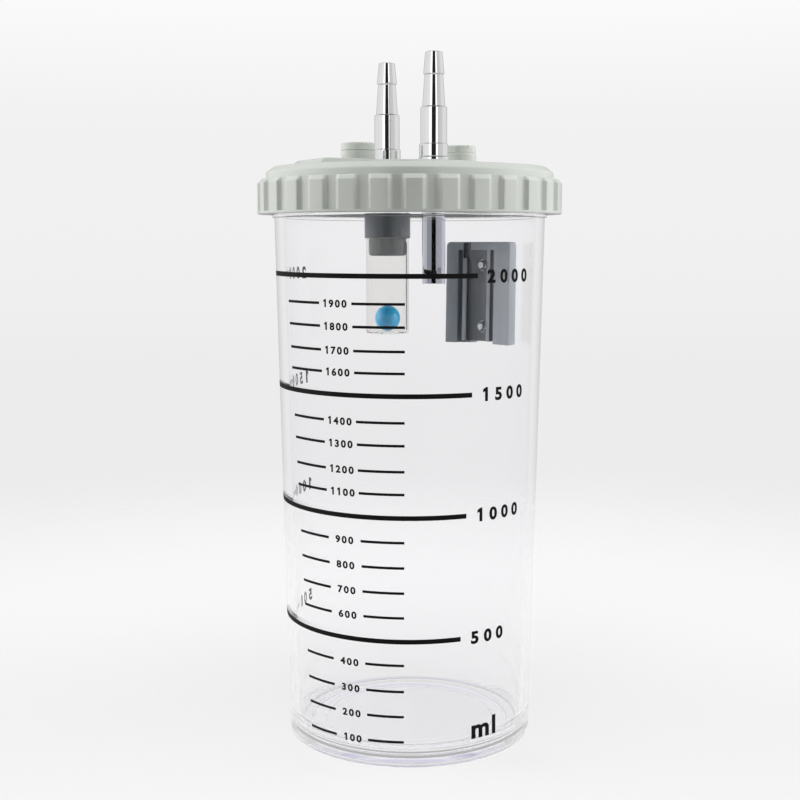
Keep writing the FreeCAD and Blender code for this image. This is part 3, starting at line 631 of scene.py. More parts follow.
# %% [markdown]
# The jar. It is one injection moulding: a wall that leans out by about one degree so that it
# leaves the tool, a foot that stands on a narrow ring round a stepped recess, and a neck
# with a thread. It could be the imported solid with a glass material, but glass shows every
# facet, so the wall is turned again with 256 fine steps and its corners are rounded.

# %% Jar shell
COLLAR_DEPTH = 0.9
JAR_WALL = 4.2
NECK_WALL = 3.8
NECK_HEIGHT = 12.7
COLLAR_HEIGHT = 1.3
BASE_RADIUS = 56.5
FLOOR_HEIGHT = 5.0
FOOT_HEIGHT = 2.2
FOOT_WALL = 10.5
FOOT_TAPER = 1.5
STEP_RADIUS = 39.4
STEP_HEIGHT = 0.6

shoulder_radius = jar.radius - COLLAR_DEPTH
collar_top = jar.top - NECK_HEIGHT
shoulder_z = collar_top - COLLAR_HEIGHT
draft = (shoulder_radius - BASE_RADIUS) / shoulder_z
mouth_radius = shoulder_radius - JAR_WALL
neck_radius = mouth_radius + NECK_WALL


def wall_radius(height):
    """Outer radius of the jar's wall at a height, in millimetres."""
    return BASE_RADIUS + draft * height


floor_radius = wall_radius(FLOOR_HEIGHT) - JAR_WALL
jar_shell = turned("jar_shell", [
    (0.0, FLOOR_HEIGHT),
    (floor_radius, FLOOR_HEIGHT, 8.0),
    (mouth_radius, shoulder_z),
    (mouth_radius, jar.top, 0.8),
    (neck_radius, jar.top, 0.8),
    (neck_radius, collar_top, 0.4),
    (jar.radius, collar_top, 0.3),
    (jar.radius, shoulder_z, 0.3),
    (shoulder_radius, shoulder_z),
    (BASE_RADIUS, 0.0, 1.5),
    (BASE_RADIUS - FOOT_WALL + FOOT_TAPER, 0.0, 0.4),
    (BASE_RADIUS - FOOT_WALL, FOOT_HEIGHT, 0.3),
    (STEP_RADIUS, FOOT_HEIGHT, 0.2),
    (STEP_RADIUS, FOOT_HEIGHT + STEP_HEIGHT, 0.2),
    (0.0, FOOT_HEIGHT + STEP_HEIGHT),
], clear_jar, closed=False, steps=256, corner_steps=8)
print("jar wall leans", round(math.degrees(math.atan(draft)), 2), "degrees")

# %% [markdown]
# The two posts behind the jar carry the bracket's screws. They are part of the moulding, so
# they are joined to its shell, a hair clear of the wall so that no glass overlaps glass.

# %% Screw posts and neck thread
POST_RADIUS = 2.4
POST_REACH = 0.5
WALL_GAP = 0.03
SCREW_HEAD = 2.9
THREAD_START = 1.6
bracket_screws = Reach("bracket_screws")
screw_heights = (bracket_screws.bottom + SCREW_HEAD, bracket_screws.top - SCREW_HEAD)


def lying_post(name, height):
    """A post along +Y at this height, from the wall into the bracket's cored back."""
    bar = rod(name, POST_RADIUS, wall_radius(height) + WALL_GAP, shoulder_radius + POST_REACH,
              clear_jar, rounding=0.2, steps=48)
    # Turned upright, then laid down so that its length runs along +Y.
    bar.data.transform(Matrix.Rotation(-math.pi / 2, 4, "X"))
    bar.data.transform(Matrix.Translation((0.0, 0.0, height * MM)))
    return bar


posts = [lying_post(label + "_post", height) for label, height in zip(("low", "high"), screw_heights)]
thread_height = collar_top + THREAD_START + THREAD_ROOT
neck_thread = thread("neck_thread", neck_radius + WALL_GAP, THREAD_DEPTH, thread_height, clear_jar)
dressed(joined("jar_shell", [jar_shell, neck_thread] + posts), "jar", "clear_shell", "jar")

# %% [markdown]
# The locking ring. Thirty lobes give a wet glove something to turn. The lobes stand on a
# plain rim, end in small bevels under the shoulder, and the ring closes in a bevelled lip
# that holds the lid down. The lobes are real shape: the turned tree pulls the wall in to the
# root radius in each valley.

# %% Locking ring
RING_LOBES = 30
LOBE_DEPTH = 1.9
LOBE_RIM = 1.2
LOBE_TOP = 5.5
LOBE_BEVEL_WIDTH = 1.5
LOBE_BEVEL_HEIGHT = 1.8
# Half widths of a valley's floor and of its mouth.
LOBE_VALLEY = (1.9, 3.9)
LOBE_STEPS = 32
RING_WALL = 3.6
RING_LIP = 3.7
LIP_REACH = 6.6
SHOULDER_STEP = 2.0
BEVEL_WIDTH = 3.3
BEVEL_HEIGHT = 2.5
RIM_EDGE = 0.02
RING_REST_TURN = math.radians(4.0)
ring_root = ring.radius - LOBE_DEPTH
ring_bore = ring_root - RING_WALL
ring_shoulder = ring_root - SHOULDER_STEP
ring_bevel = ring_shoulder - BEVEL_WIDTH
lobe_top = ring.top - LOBE_TOP
ring_opening = ring_bore - LIP_REACH
rim_top = ring.bottom + LOBE_RIM
ring_shell = turned("locking_ring_shell", [
    (ring_bore, ring.bottom, 0.3),
    (ring.radius, ring.bottom, 0.5),
    (ring.radius, rim_top, 0.25),
    (ring.radius - RIM_EDGE, rim_top + RIM_EDGE, 0.0, 1.0),
    (ring.radius - RIM_EDGE, lobe_top - LOBE_BEVEL_HEIGHT, 0.5, 1.0),
    (ring.radius - LOBE_BEVEL_WIDTH, lobe_top, 0.5, 1.0),
    (ring_shoulder, lobe_top, 0.3),
    (ring_shoulder, ring.top - BEVEL_HEIGHT, 1.0),
    (ring_bevel, ring.top, 0.9),
    (ring_opening, ring.top, 0.5),
    (ring_opening, ring.top - RING_LIP),
    (ring_bore, ring.top - RING_LIP),
], pale_plastic, steps=RING_LOBES * LOBE_STEPS, corner_steps=4, lobes=RING_LOBES,
    root=ring_root, valley=LOBE_VALLEY)
ring_shell.data.transform(Matrix.Rotation(RING_REST_TURN, 4, "Z"))
ring_thread = thread("ring_thread", ring_bore - WALL_GAP, -THREAD_DEPTH,
                     thread_height + THREAD_PITCH / 2, pale_plastic)
dressed(joined("locking_ring_shell", [ring_shell, ring_thread]), "locking_ring",
        "pale_grey_plastic", "locking_ring")

# %% [markdown]
# The lid plate sits inside the ring. Its rim is turned, the bar across it is a flat wedge
# with sloping ends, and two bosses hold the spare ports. They overlap into one moulding.

# %% Lid plate
LID_TURN = math.radians(-23.6)
PORT_OFFSET = 22.5
SPARE_OFFSET = 26.0
PLATE_RISE = 2.6
FLANGE_THICKNESS = 2.8
PLATE_THICKNESS = 3.2
DOME_RISE = 3.6
DOME_WALL = 3.4
DOME_RADIUS = 32.0
DOME_SIDE = 2.2
DOME_SLOPE = 0.8
SPIGOT_WALL = 3.2
SPIGOT_DEPTH = 5.8
SPIGOT_GAP = 0.9
PLATE_GAP = 0.4
BAR_RISE = 0.4
flange_z = gasket.top
flange_top = flange_z + FLANGE_THICKNESS
plate_top = flange_top + PLATE_RISE
plate_under = plate_top - PLATE_THICKNESS
dome_top = plate_top + DOME_RISE
dome_under = dome_top - DOME_WALL
bar_top = dome_top + BAR_RISE
spigot_radius = mouth_radius - SPIGOT_GAP
plate_radius = ring_opening - PLATE_GAP


def lid_place(across, along):
    """A place on the lid, given with the ports along X, as x and y of the whole part."""
    return (across * math.cos(LID_TURN) - along * math.sin(LID_TURN),
            across * math.sin(LID_TURN) + along * math.cos(LID_TURN))


inlet_place = lid_place(PORT_OFFSET, 0.0)
vacuum_place = lid_place(-PORT_OFFSET, 0.0)
front_place = lid_place(0.0, -SPARE_OFFSET)
rear_place = lid_place(0.0, SPARE_OFFSET)

plate = turned("lid_plate", [
    (0.0, dome_under),
    (DOME_RADIUS - DOME_SIDE, dome_under, 0.5),
    (DOME_RADIUS - DOME_SIDE, plate_under, 0.4),
    (spigot_radius - SPIGOT_WALL, plate_under, 0.5),
    (spigot_radius - SPIGOT_WALL, flange_z - SPIGOT_DEPTH, 0.3),
    (spigot_radius, flange_z - SPIGOT_DEPTH, 0.8),
    (spigot_radius, flange_z, 0.2),
    (lid.radius, flange_z, 0.3),
    (lid.radius, flange_top, 0.4),
    (plate_radius, flange_top, 0.3),
    (plate_radius, plate_top, 0.4),
    (DOME_RADIUS + DOME_SLOPE, plate_top, 0.6),
    (DOME_RADIUS, dome_top, 0.8),
    (0.0, dome_top),
], pale_plastic, closed=False, steps=192)

# %% [markdown]
# The bar is a box with sloping ends. A Bevel modifier rounds its edges, and its result is
# written back to the mesh so that the bar can be joined to the plate.

# %% Lid bar, bosses and valve skirt
BEVEL_ANGLE = math.radians(30)


def applied(piece):
    """Write a piece's modifiers into its mesh."""
    depsgraph = bpy.context.evaluated_depsgraph_get()
    made = bpy.data.meshes.new_from_object(piece.evaluated_get(depsgraph), depsgraph=depsgraph)
    piece.modifiers.clear()
    piece.data = made
    return piece


def bevelled(piece, width, segments=3):
    """Round a piece's sharp edges."""
    modifier = piece.modifiers.new("edges", "BEVEL")
    modifier.width = width * MM
    modifier.segments = segments
    modifier.limit_method = "ANGLE"
    modifier.angle_limit = BEVEL_ANGLE
    return applied(piece)


BAR_HALF_LENGTH = 54.0
BAR_WIDTH = 31.0
BAR_END_SLOPE = 5.0
BAR_EDGE = 0.5
# How far each added form is sunk into the plate that it stands on.
SUNK = 1.6
FRONT_SUNK = 1.7
SKIRT_SUNK = 1.0
SPARE_RADIUS = 7.7
REAR_BOSS_RADIUS = 8.0
FRONT_BOSS_RISE = 4.7
REAR_BOSS_RISE = 5.0
SKIRT_RADIUS = 9.5
SKIRT_WALL = 1.3
SKIRT_DEPTH = 12.4


def lid_bar(outline):
    """The bar along the lid's Y, from its side outline of (along, height) corners."""
    count = len(outline)
    points = [(side * BAR_WIDTH / 2 * MM, along * MM, height * MM)
              for side in (-1, 1) for along, height in outline]
    faces = [tuple(range(count)), tuple(range(2 * count - 1, count - 1, -1))]
    faces += [(i, i + count, (i + 1) % count + count, (i + 1) % count) for i in range(count)]
    mesh = bpy.data.meshes.new("lid_bar")
    mesh.from_pydata(points, [], faces)
    mesh.transform(Matrix.Rotation(LID_TURN, 4, "Z"))
    mesh.materials.append(pale_plastic)
    bar = bpy.data.objects.new("lid_bar", mesh)
    bpy.context.scene.collection.objects.link(bar)
    return bevelled(tidy_shell(bar), BAR_EDGE)


bar = lid_bar([
    (-BAR_HALF_LENGTH, plate_top - SUNK),
    (BAR_HALF_LENGTH, plate_top - SUNK),
    (BAR_HALF_LENGTH, plate_top),
    (BAR_HALF_LENGTH - BAR_END_SLOPE, bar_top),
    (-BAR_HALF_LENGTH + BAR_END_SLOPE, bar_top),
    (-BAR_HALF_LENGTH, plate_top),
])
spare_top = dome_top + FRONT_BOSS_RISE
rear_boss_top = dome_top + REAR_BOSS_RISE
front_boss = rod("front_boss", SPARE_RADIUS, dome_top - FRONT_SUNK, spare_top, pale_plastic,
                 rounding=0.5, axis=front_place)
rear_boss = rod("rear_boss", REAR_BOSS_RADIUS, plate_top - SUNK, rear_boss_top, pale_plastic,
                rounding=0.6, axis=rear_place)
skirt_bottom = dome_under - SKIRT_DEPTH
skirt = turned("valve_skirt", [
    (SKIRT_RADIUS - SKIRT_WALL, skirt_bottom, 0.2),
    (SKIRT_RADIUS, skirt_bottom, 0.2),
    (SKIRT_RADIUS, dome_under + SKIRT_SUNK),
    (SKIRT_RADIUS - SKIRT_WALL, dome_under + SKIRT_SUNK),
], pale_plastic, axis=vacuum_place, steps=96)
dressed(joined("lid_shell", [plate, bar, front_boss, rear_boss, skirt]), "lid",
        "pale_grey_plastic", "lid")

# %% [markdown]
# Nozzles. Each is turned from bar and plated: a collar, a straight shank, a long taper, a
# small barb and a tip that a suction hose slides over. Polished metal shows its edges by
# how they catch the light, so every corner has a small round.

# %% Nozzles and washers
PORTS = (("inlet", inlet_place), ("vacuum", vacuum_place))
NOZZLE_BORE = 2.5
STEM_RADIUS = 3.95
STEM_GAP = 0.15
COLLAR_LENGTH = 5.7
SHANK_LENGTH = 16.0
SHANK_RADIUS = 5.85
TAPER_LENGTH = 14.0
TAPER_RADII = (5.05, 4.15)
BARB_LENGTH = 0.6
BARB_RADIUS = 4.6
TIP_RADIUS = 3.75
# How far below the barb its fine groove begins and ends.
GROOVE_ENDS = (0.55, 0.1)
POCKET_RADIUS = 5.8
POCKET_DEPTH = 0.9
for port, place in PORTS:
    nozzle = Reach(port + "_nozzle")
    washer = Reach(port + "_washer")
    seat = washer.top
    collar = seat + COLLAR_LENGTH
    shank = collar + SHANK_LENGTH
    taper = shank + TAPER_LENGTH
    dressed(turned(port + "_nozzle_form", [
        (NOZZLE_BORE, nozzle.bottom, 0.2),
        (STEM_RADIUS, nozzle.bottom, 0.3),
        (STEM_RADIUS, seat),
        (nozzle.radius, seat, 0.4),
        (nozzle.radius, collar, 0.4),
        (SHANK_RADIUS, collar, 0.15),
        (SHANK_RADIUS, shank, 0.6),
        (TAPER_RADII[0], shank, 0.15),
        (TAPER_RADII[1], taper - GROOVE_ENDS[0], 0.1),
        (TIP_RADIUS, taper - GROOVE_ENDS[1], 0.05),
        (BARB_RADIUS, taper, 0.08),
        (BARB_RADIUS, taper + BARB_LENGTH, 0.2),
        (TIP_RADIUS, nozzle.top, 0.3),
        (NOZZLE_BORE, nozzle.top, 0.3),
    ], plating, axis=place), "lid", "plated_metal", port + "_nozzle")
    dressed(turned(port + "_washer_form", [
        (STEM_RADIUS + STEM_GAP, washer.top),
        (washer.radius, washer.top, 0.4),
        (washer.radius, washer.bottom, 0.3),
        (POCKET_RADIUS, washer.bottom, 0.1),
        (POCKET_RADIUS, washer.bottom + POCKET_DEPTH),
        (STEM_RADIUS + STEM_GAP, washer.bottom + POCKET_DEPTH),
    ], plating, axis=place), "lid", "plated_metal", port + "_washer")

# %% [markdown]
# Spare ports. A round cap with a driver slot closes each. The slot is cut with a Boolean
# modifier, because it crosses a turned form.

# %% Caps on the spare ports


def cut(piece, cutter):
    """Take the cutter's shape out of the piece; the cutter is used up."""
    modifier = piece.modifiers.new("cut", "BOOLEAN")
    modifier.operation = "DIFFERENCE"
    modifier.solver = "EXACT"
    modifier.object = cutter
    applied(piece)
    bpy.data.objects.remove(cutter)
    return tidy_shell(piece)


def block(name, low, high, turn, material):
    """A plain box between two corners in millimetres, turned about Z at its own middle."""
    shape = bmesh.new()
    bmesh.ops.create_cube(shape, size=1.0)
    size = Vector(high) - Vector(low)
    middle = (Vector(high) + Vector(low)) / 2 * MM
    shape.transform(Matrix.Translation(middle) @ Matrix.Rotation(turn, 4, "Z")
                    @ Matrix.Diagonal((*(size * MM), 1.0)))
    mesh = bpy.data.meshes.new(name)
    shape.to_mesh(mesh)
    shape.free()
    mesh.materials.append(material)
    box = bpy.data.objects.new(name, mesh)
    bpy.context.scene.collection.objects.link(box)
    return box


CAP_STEM = 3.9
SLOT_WIDTH = 1.6
SLOT_DEPTH = 1.2
SLOT_REACH = 9.0
# How far a cutter stands out of what it cuts.
OVERCUT = 1.0
for end, place, seat in (("front", front_place, spare_top), ("rear", rear_place, rear_boss_top)):
    cap = Reach(end + "_port_cap")
    head = turned(end + "_port_cap_form", [
        (0.0, cap.bottom),
        (CAP_STEM, cap.bottom, 0.3),
        (CAP_STEM, seat + POCKET_DEPTH),
        (POCKET_RADIUS, seat + POCKET_DEPTH),
        (POCKET_RADIUS, seat),
        (SPARE_RADIUS, seat, 0.2),
        (SPARE_RADIUS, cap.top, 0.8),
        (0.0, cap.top),
    ], pale_plastic, axis=place, closed=False, steps=96)
    slot = block("slot",
                 (place[0] - SLOT_REACH, place[1] - SLOT_WIDTH / 2, cap.top - SLOT_DEPTH),
                 (place[0] + SLOT_REACH, place[1] + SLOT_WIDTH / 2, cap.top + OVERCUT),
                 LID_TURN, pale_plastic)
    dressed(cut(head, slot), "lid", "pale_grey_plastic", end + "_port_cap")

# %% [markdown]
# Inside the jar hang the plated inlet tube and the float valve. The valve's grey holder grips
# the lid's skirt and carries a rubber seat. All three are turned forms with small rounds.

# %% Inlet tube and valve holder
tube = Reach("inlet_tube")
TUBE_WALL = 1.1
dressed(turned("inlet_tube_form", [
    (tube.radius - TUBE_WALL, tube.bottom, 0.3),
    (tube.radius, tube.bottom, 0.3),
    (tube.radius, tube.top, 0.3),
    (tube.radius - TUBE_WALL, tube.top, 0.3),
], plating, axis=inlet_place), "lid", "plated_metal", "inlet_tube")

holder = Reach("valve_holder")
cage = Reach("float_cage")
SEAT_RADIUS = 6.95
SEAT_LIFT = 2.4
SEAT_BORE = 3.5
SEAT_BEVEL = 0.8
HOLDER_BORE = 6.0
CAGE_WALL = 1.2
FIT_GAP = 0.05
REST_GAP = 0.1
holder_shoulder = cage.top + REST_GAP
cage_bore = cage.radius - CAGE_WALL
seat_top = holder.bottom + SEAT_LIFT
dressed(turned("valve_holder_form", [
    (SEAT_RADIUS + FIT_GAP, holder.bottom, 0.2),
    (cage_bore - FIT_GAP, holder.bottom, 1.6),
    (cage_bore - FIT_GAP, holder_shoulder, 0.1),
    (holder.radius, holder_shoulder, 0.5),
    (holder.radius, holder.top, 0.4),
    (SKIRT_RADIUS + REST_GAP, holder.top, 0.2),
    (SKIRT_RADIUS + REST_GAP, skirt_bottom - REST_GAP),
    (HOLDER_BORE, skirt_bottom - REST_GAP, 0.3),
    (HOLDER_BORE, seat_top, 0.2),
    (SEAT_RADIUS + FIT_GAP, seat_top),
], holder_plastic, axis=vacuum_place), "lid", "mid_grey_plastic", "valve_holder")
valve_seat = Reach("valve_seat")
dressed(turned("valve_seat_form", [
    (SEAT_BORE + SEAT_BEVEL, valve_seat.bottom, 0.15),
    (valve_seat.radius, valve_seat.bottom, 0.2),
    (valve_seat.radius, valve_seat.top, 0.2),
    (SEAT_BORE, valve_seat.top, 0.3),
    (SEAT_BORE, valve_seat.bottom + SEAT_BEVEL, 0.3),
], rubber, axis=vacuum_place, steps=96), "lid", "seal_rubber", "valve_seat")

# %% [markdown]
# The clear cage is a cup with four holes in its floor. Fluid comes in through them and lifts
# the blue ball to the seat. The cup is turned, and the holes are cut with a Boolean modifier,
# because they stand off its axis. The ball is half a circle, turned.

# %% Float cage and ball
CAGE_FLOOR = 1.0
FLOOR_HOLE_RADIUS = 1.7
FLOOR_HOLE_OFFSET = 6.2
cage_shell = turned("float_cage_form", [
    (0.0, cage.bottom),
    (cage.radius, cage.bottom, 0.5),
    (cage.radius, cage.top, 0.3),
    (cage_bore, cage.top, 0.2),
    (cage_bore, cage.bottom + CAGE_FLOOR, 0.6),
    (0.0, cage.bottom + CAGE_FLOOR),
], clear_cage, axis=vacuum_place, closed=False, steps=160)
for quarter in range(4):
    angle = quarter * math.pi / 2
    place = (vacuum_place[0] + FLOOR_HOLE_OFFSET * math.cos(angle),
             vacuum_place[1] + FLOOR_HOLE_OFFSET * math.sin(angle))
    cut(cage_shell, rod("floor_hole", FLOOR_HOLE_RADIUS, cage.bottom - OVERCUT,
                        cage.bottom + CAGE_FLOOR + OVERCUT, clear_cage, axis=place, steps=32))
dressed(cage_shell, "lid", "clear_tube", "float_cage")

ball = Reach("float_ball")
ball_middle = (ball.top + ball.bottom) / 2
BALL_STEPS = 48
arc = [(ball.radius * math.sin(math.pi * i / BALL_STEPS),
        ball_middle - ball.radius * math.cos(math.pi * i / BALL_STEPS))
       for i in range(BALL_STEPS + 1)]
arc[0] = (0.0, ball.bottom)
arc[-1] = (0.0, ball.top)
dressed(turned("float_ball_form", arc, float_blue, axis=vacuum_place, closed=False, steps=96),
        "float", "blue_plastic", "float_ball")

# %% [markdown]
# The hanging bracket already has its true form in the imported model: pads on the jar, cored
# towards it, and a dovetail slot on the outside. A copy of its mesh is merged, its flat faces
# are cleaned and its edges rounded, because a moulded edge is never sharp. Little light gets
# into the cored strip behind the jar, so its colour is darkened there.

# %% Bracket
FLAT_ANGLE = math.radians(1.0)


def cleaned_copy(node, name, material):
    """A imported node's mesh, merged and with its flat faces whole again."""
    piece = bpy.data.objects.new(name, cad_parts[node].data.copy())
    piece.data.name = name
    bpy.context.scene.collection.objects.link(piece)
    shape = bmesh.new()
    shape.from_mesh(piece.data)
    bmesh.ops.remove_doubles(shape, verts=shape.verts, dist=0.002 * MM)
    bmesh.ops.dissolve_limit(shape, angle_limit=FLAT_ANGLE, verts=shape.verts,
                             edges=shape.edges, delimit={"NORMAL"})
    shape.to_mesh(piece.data)
    shape.free()
    piece.data.materials.clear()
    piece.data.materials.append(material)
    return tidy_shell(piece)


# Millimetres: the cored strip's two ends along X and how far its shade fades there, where
# the shade sets in along Y, and how far outside the wall's cone it begins and is full.
CORE_ENDS = (-14.4, 8.3)
CORE_FADE = 0.4
CORE_BACK = (62.9, 62.4)
CORE_DEEP = (0.35, 0.75)
CORE_SHADE = 0.34
BRACKET_EDGE = 0.35


def shade_recess(material):
    """Darken the cored strip behind the jar, where little light gets in."""
    tree = material.node_tree
    place = tree.nodes.new("ShaderNodeTexCoord").outputs["Object"]
    axes = add_node(tree, "ShaderNodeSeparateXYZ", {0: place}).outputs
    squares = math_node(tree, "MULTIPLY_ADD", axes["X"], axes["X"],
                        math_node(tree, "MULTIPLY", axes["Y"], axes["Y"]))
    cone = math_node(tree, "MULTIPLY_ADD", axes["Z"], draft, BASE_RADIUS * MM)
    depth = math_node(tree, "SUBTRACT", math_node(tree, "SQRT", squares), cone)
    mask = 1.0
    for value, start, end in ((depth, *CORE_DEEP), (axes["Y"], *CORE_BACK),
                              (axes["X"], CORE_ENDS[0] - CORE_FADE, CORE_ENDS[0] + CORE_FADE),
                              (axes["X"], CORE_ENDS[1] + CORE_FADE, CORE_ENDS[1] - CORE_FADE)):
        within = map_range(tree, value, start * MM, end * MM, smooth=True)
        mask = math_node(tree, "MULTIPLY", within, mask)
    shade = map_range(tree, mask, 0.0, 1.0, 1.0, CORE_SHADE)
    base = tree.nodes["Principled BSDF"].inputs["Base Color"]
    plain = base.links[0].from_socket
    shaded = add_node(tree, "ShaderNodeVectorMath", {0: plain, "Scale": shade}, operation="SCALE")
    tree.links.new(shaded.outputs[0], base)


shade_recess(grey_plastic)
bracket = bevelled(cleaned_copy("bracket", "bracket_form", grey_plastic), BRACKET_EDGE, segments=2)
dressed(tidy_shell(bracket), "jar", "mid_grey_plastic", "bracket")

# %% [markdown]
# The seals and nuts are hidden, and of the bracket's screws only two bright spots show
# through the jar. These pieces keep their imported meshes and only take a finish.

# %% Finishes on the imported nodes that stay
CARRIED = {
    "lid_gasket": rubber,
    "inlet_seal": rubber,
    "vacuum_seal": rubber,
    "front_cap_seal": rubber,
    "rear_cap_seal": rubber,
    "inlet_nut": nut_plating,
    "vacuum_nut": nut_plating,
    "bracket_screws": screw_steel,
}
for node, finish in CARRIED.items():
    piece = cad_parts[node]
    piece.data.materials.clear()
    piece.data.materials.append(finish)
print("carried nodes:", len(CARRIED))

# %% [markdown]
# The printed scale. Each mark stands where the jar holds that volume, so its height is worked
# out from the inside of the jar and not from a ruler: the wall leans, so the steps shrink a
# little towards the top. In the picture the marks fit a count that starts at the foot, and
# not at the inside floor, and some stand a little off their even place, which is followed.
# The print is real geometry, a film of ink wrapped round the cone.

# %% Heights of the scale's marks
FULL_MARK = 2000
SCALE_STEP = 100
SCALE_ZERO = 0.35
# How far the photographed print stands off the even division at each hundred, in millimetres.
PRINT_DRIFT = {1900: -1.7, 1800: -1.4, 1700: -1.5, 1600: -0.6, 1400: -1.0, 1300: -0.4,
               1200: -1.1, 1100: -0.4, 800: -0.3, 700: -0.5, 600: -0.5, 400: 0.5}


def volume_below(height):
    """Millilitres inside the wall's cone from the scale's zero up to this height."""
    low = wall_radius(SCALE_ZERO) - JAR_WALL
    high = wall_radius(height) - JAR_WALL
    return math.pi * (height - SCALE_ZERO) * (low ** 2 + low * high + high ** 2) / 3 / 1000


def height_of(volume):
    """The height at which the cone holds this many millilitres, found by halving."""
    low, high = SCALE_ZERO, shoulder_z
    for _ in range(40):
        middle = (low + high) / 2
        if volume_below(middle) < volume:
            low = middle
        else:
            high = middle
    return low


mark_heights = {volume: height_of(volume) + PRINT_DRIFT.get(volume, 0.0)
                for volume in range(SCALE_STEP, FULL_MARK + 1, SCALE_STEP)}
print({volume: round(height, 1) for volume, height in mark_heights.items()})

# %% [markdown]
# One small tree wraps flat print round the wall. Print is laid out flat first: X is the
# distance round the jar from the front, Z the height, and Y how proud the ink stands. The
# tree reads the wall's radius at that height and bends the film to it.

# %% Geometry Nodes tree that wraps print on the wall
WRAP_INPUTS = {
    "Base Radius": "NodeSocketFloat",
    "Draft": "NodeSocketFloat",
    "Stand Off": "NodeSocketFloat",
    "Turn": "NodeSocketFloat",
    "Material": "NodeSocketMaterial",
}


def build_wrap_tree():
    """Flat print in, print on the jar's cone out."""
    tree, given = geometry_tree("wrapped_print", WRAP_INPUTS)
    position = tree.nodes.new("GeometryNodeInputPosition").outputs[0]
    flat = add_node(tree, "ShaderNodeSeparateXYZ", {0: position}).outputs
    wall = math_node(tree, "MULTIPLY_ADD", flat["Z"], given["Draft"], given["Base Radius"])
    angle = math_node(tree, "ADD", math_node(tree, "DIVIDE", flat["X"], wall), given["Turn"])
    radius = math_node(tree, "ADD", math_node(tree, "ADD", wall, given["Stand Off"]), flat["Y"])
    inward = math_node(tree, "MULTIPLY", radius, -1.0)
    place = add_node(tree, "ShaderNodeCombineXYZ", {
        "X": math_node(tree, "MULTIPLY", radius, math_node(tree, "SINE", angle)),
        "Y": math_node(tree, "MULTIPLY", inward, math_node(tree, "COSINE", angle)),
        "Z": flat["Z"]}).outputs[0]
    film = add_node(tree, "GeometryNodeSetPosition",
                    {"Geometry": given["Geometry"], "Position": place}).outputs[0]
    close_tree(tree, film, given["Material"])
    return tree


wrap_tree = build_wrap_tree()
INK_THICKNESS = 0.06
INK_GAP = 0.03
PRINT_TURN = math.radians(3.05)


def wrapped(name, mesh):
    """Flat print of this mesh as an ink film on the jar."""
    film = run_tree(wrap_tree, mesh, name, {
        "Base Radius": BASE_RADIUS * MM,
        "Draft": draft,
        "Stand Off": INK_GAP * MM,
        "Turn": PRINT_TURN,
        "Material": ink,
    })
    return tidy_shell(film)


# %% [markdown]
# The lines repeat, so a second tree lays them out: one point for each line carries its length
# and thickness, and a thin strip with many cuts is placed on each point. The strips come out
# flat and then go through the wrapping tree.

# %% Scale lines
LINE_INPUTS = {"Cuts": "NodeSocketInt", "Film": "NodeSocketFloat"}


def build_line_tree():
    """Points with a length and a thickness in, flat strips out."""
    tree, given = geometry_tree("scale_lines", LINE_INPUTS)
    length, thickness = (add_node(tree, "GeometryNodeInputNamedAttribute", {"Name": label},
                                  data_type="FLOAT").outputs[0]
                         for label in ("length", "thickness"))
    strip = add_node(tree, "GeometryNodeMeshCube",
                     {"Size": (1.0, 1.0, 1.0), "Vertices X": given["Cuts"]}).outputs[0]
    size = add_node(tree, "ShaderNodeCombineXYZ",
                    {"X": length, "Y": given["Film"], "Z": thickness}).outputs[0]
    lines = add_node(tree, "GeometryNodeInstanceOnPoints",
                     {"Points": given["Geometry"], "Instance": strip, "Scale": size}).outputs[0]
    close_tree(tree, lines)
    return tree


line_tree = build_line_tree()
MAJOR_STEP = 500
MAJOR_THICKNESS = 2.1
MINOR_THICKNESS = 1.15
LINE_CUTS = 121
# Degrees round from the print's middle at the foot of the scale and at its top.
MAJOR_EDGE = (56.3, 62.9)
MINOR_SEGMENTS = (((-15.5, -25.3), (0.7, -4.0)), ((16.6, 11.6), (32.8, 33.5)))
PRINT_FOOT = 12.5
PRINT_TOP = 204.0



def spread(ends, height):
    """A print edge in degrees at this height, between its ends at the foot and the top."""
    share = (height - PRINT_FOOT) / (PRINT_TOP - PRINT_FOOT)
    return ends[0] + (ends[1] - ends[0]) * share


lines = []
for volume, height in mark_heights.items():
    if volume % MAJOR_STEP == 0:
        edge = spread(MAJOR_EDGE, height)
        segments, thickness = ((-edge, edge),), MAJOR_THICKNESS
    else:
        segments = [(spread(start, height), spread(end, height)) for start, end in MINOR_SEGMENTS]
        thickness = MINOR_THICKNESS
    for start, end in segments:
        around = math.radians(1.0) * wall_radius(height)
        lines.append(((start + end) / 2 * around, height, (end - start) * around, thickness))
line_points = bpy.data.meshes.new("line_points")
line_points.from_pydata([(middle * MM, INK_THICKNESS / 2 * MM, height * MM)
                         for middle, height, _, _ in lines], [], [])
for label, place in (("length", 2), ("thickness", 3)):
    column = line_points.attributes.new(label, "FLOAT", "POINT")
    column.data.foreach_set("value", [line[place] * MM for line in lines])
flat_lines = run_tree(line_tree, line_points, "flat_lines",
                      {"Cuts": LINE_CUTS, "Film": INK_THICKNESS * MM})
line_mesh = flat_lines.data.copy()
bpy.data.objects.remove(flat_lines)
dressed(wrapped("scale_lines", line_mesh), "jar", None)

# %% [markdown]
# The numbers are plain text in the built-in typeface, thickened a little because the print is
# bold. The figures of a number stand at an even pitch, as they do in the picture. The text
# becomes a mesh before it is placed, and is cut into narrow slices so that it can bend with
# the wall.

# %% Scale numbers
# The share of the typeface's size that a capital takes, and the share of a pitch left free.
CAP_SHARE = 0.729
PITCH_GAP = 0.45
SLICE = 0.8
GLYPH_STRETCH = 1.12
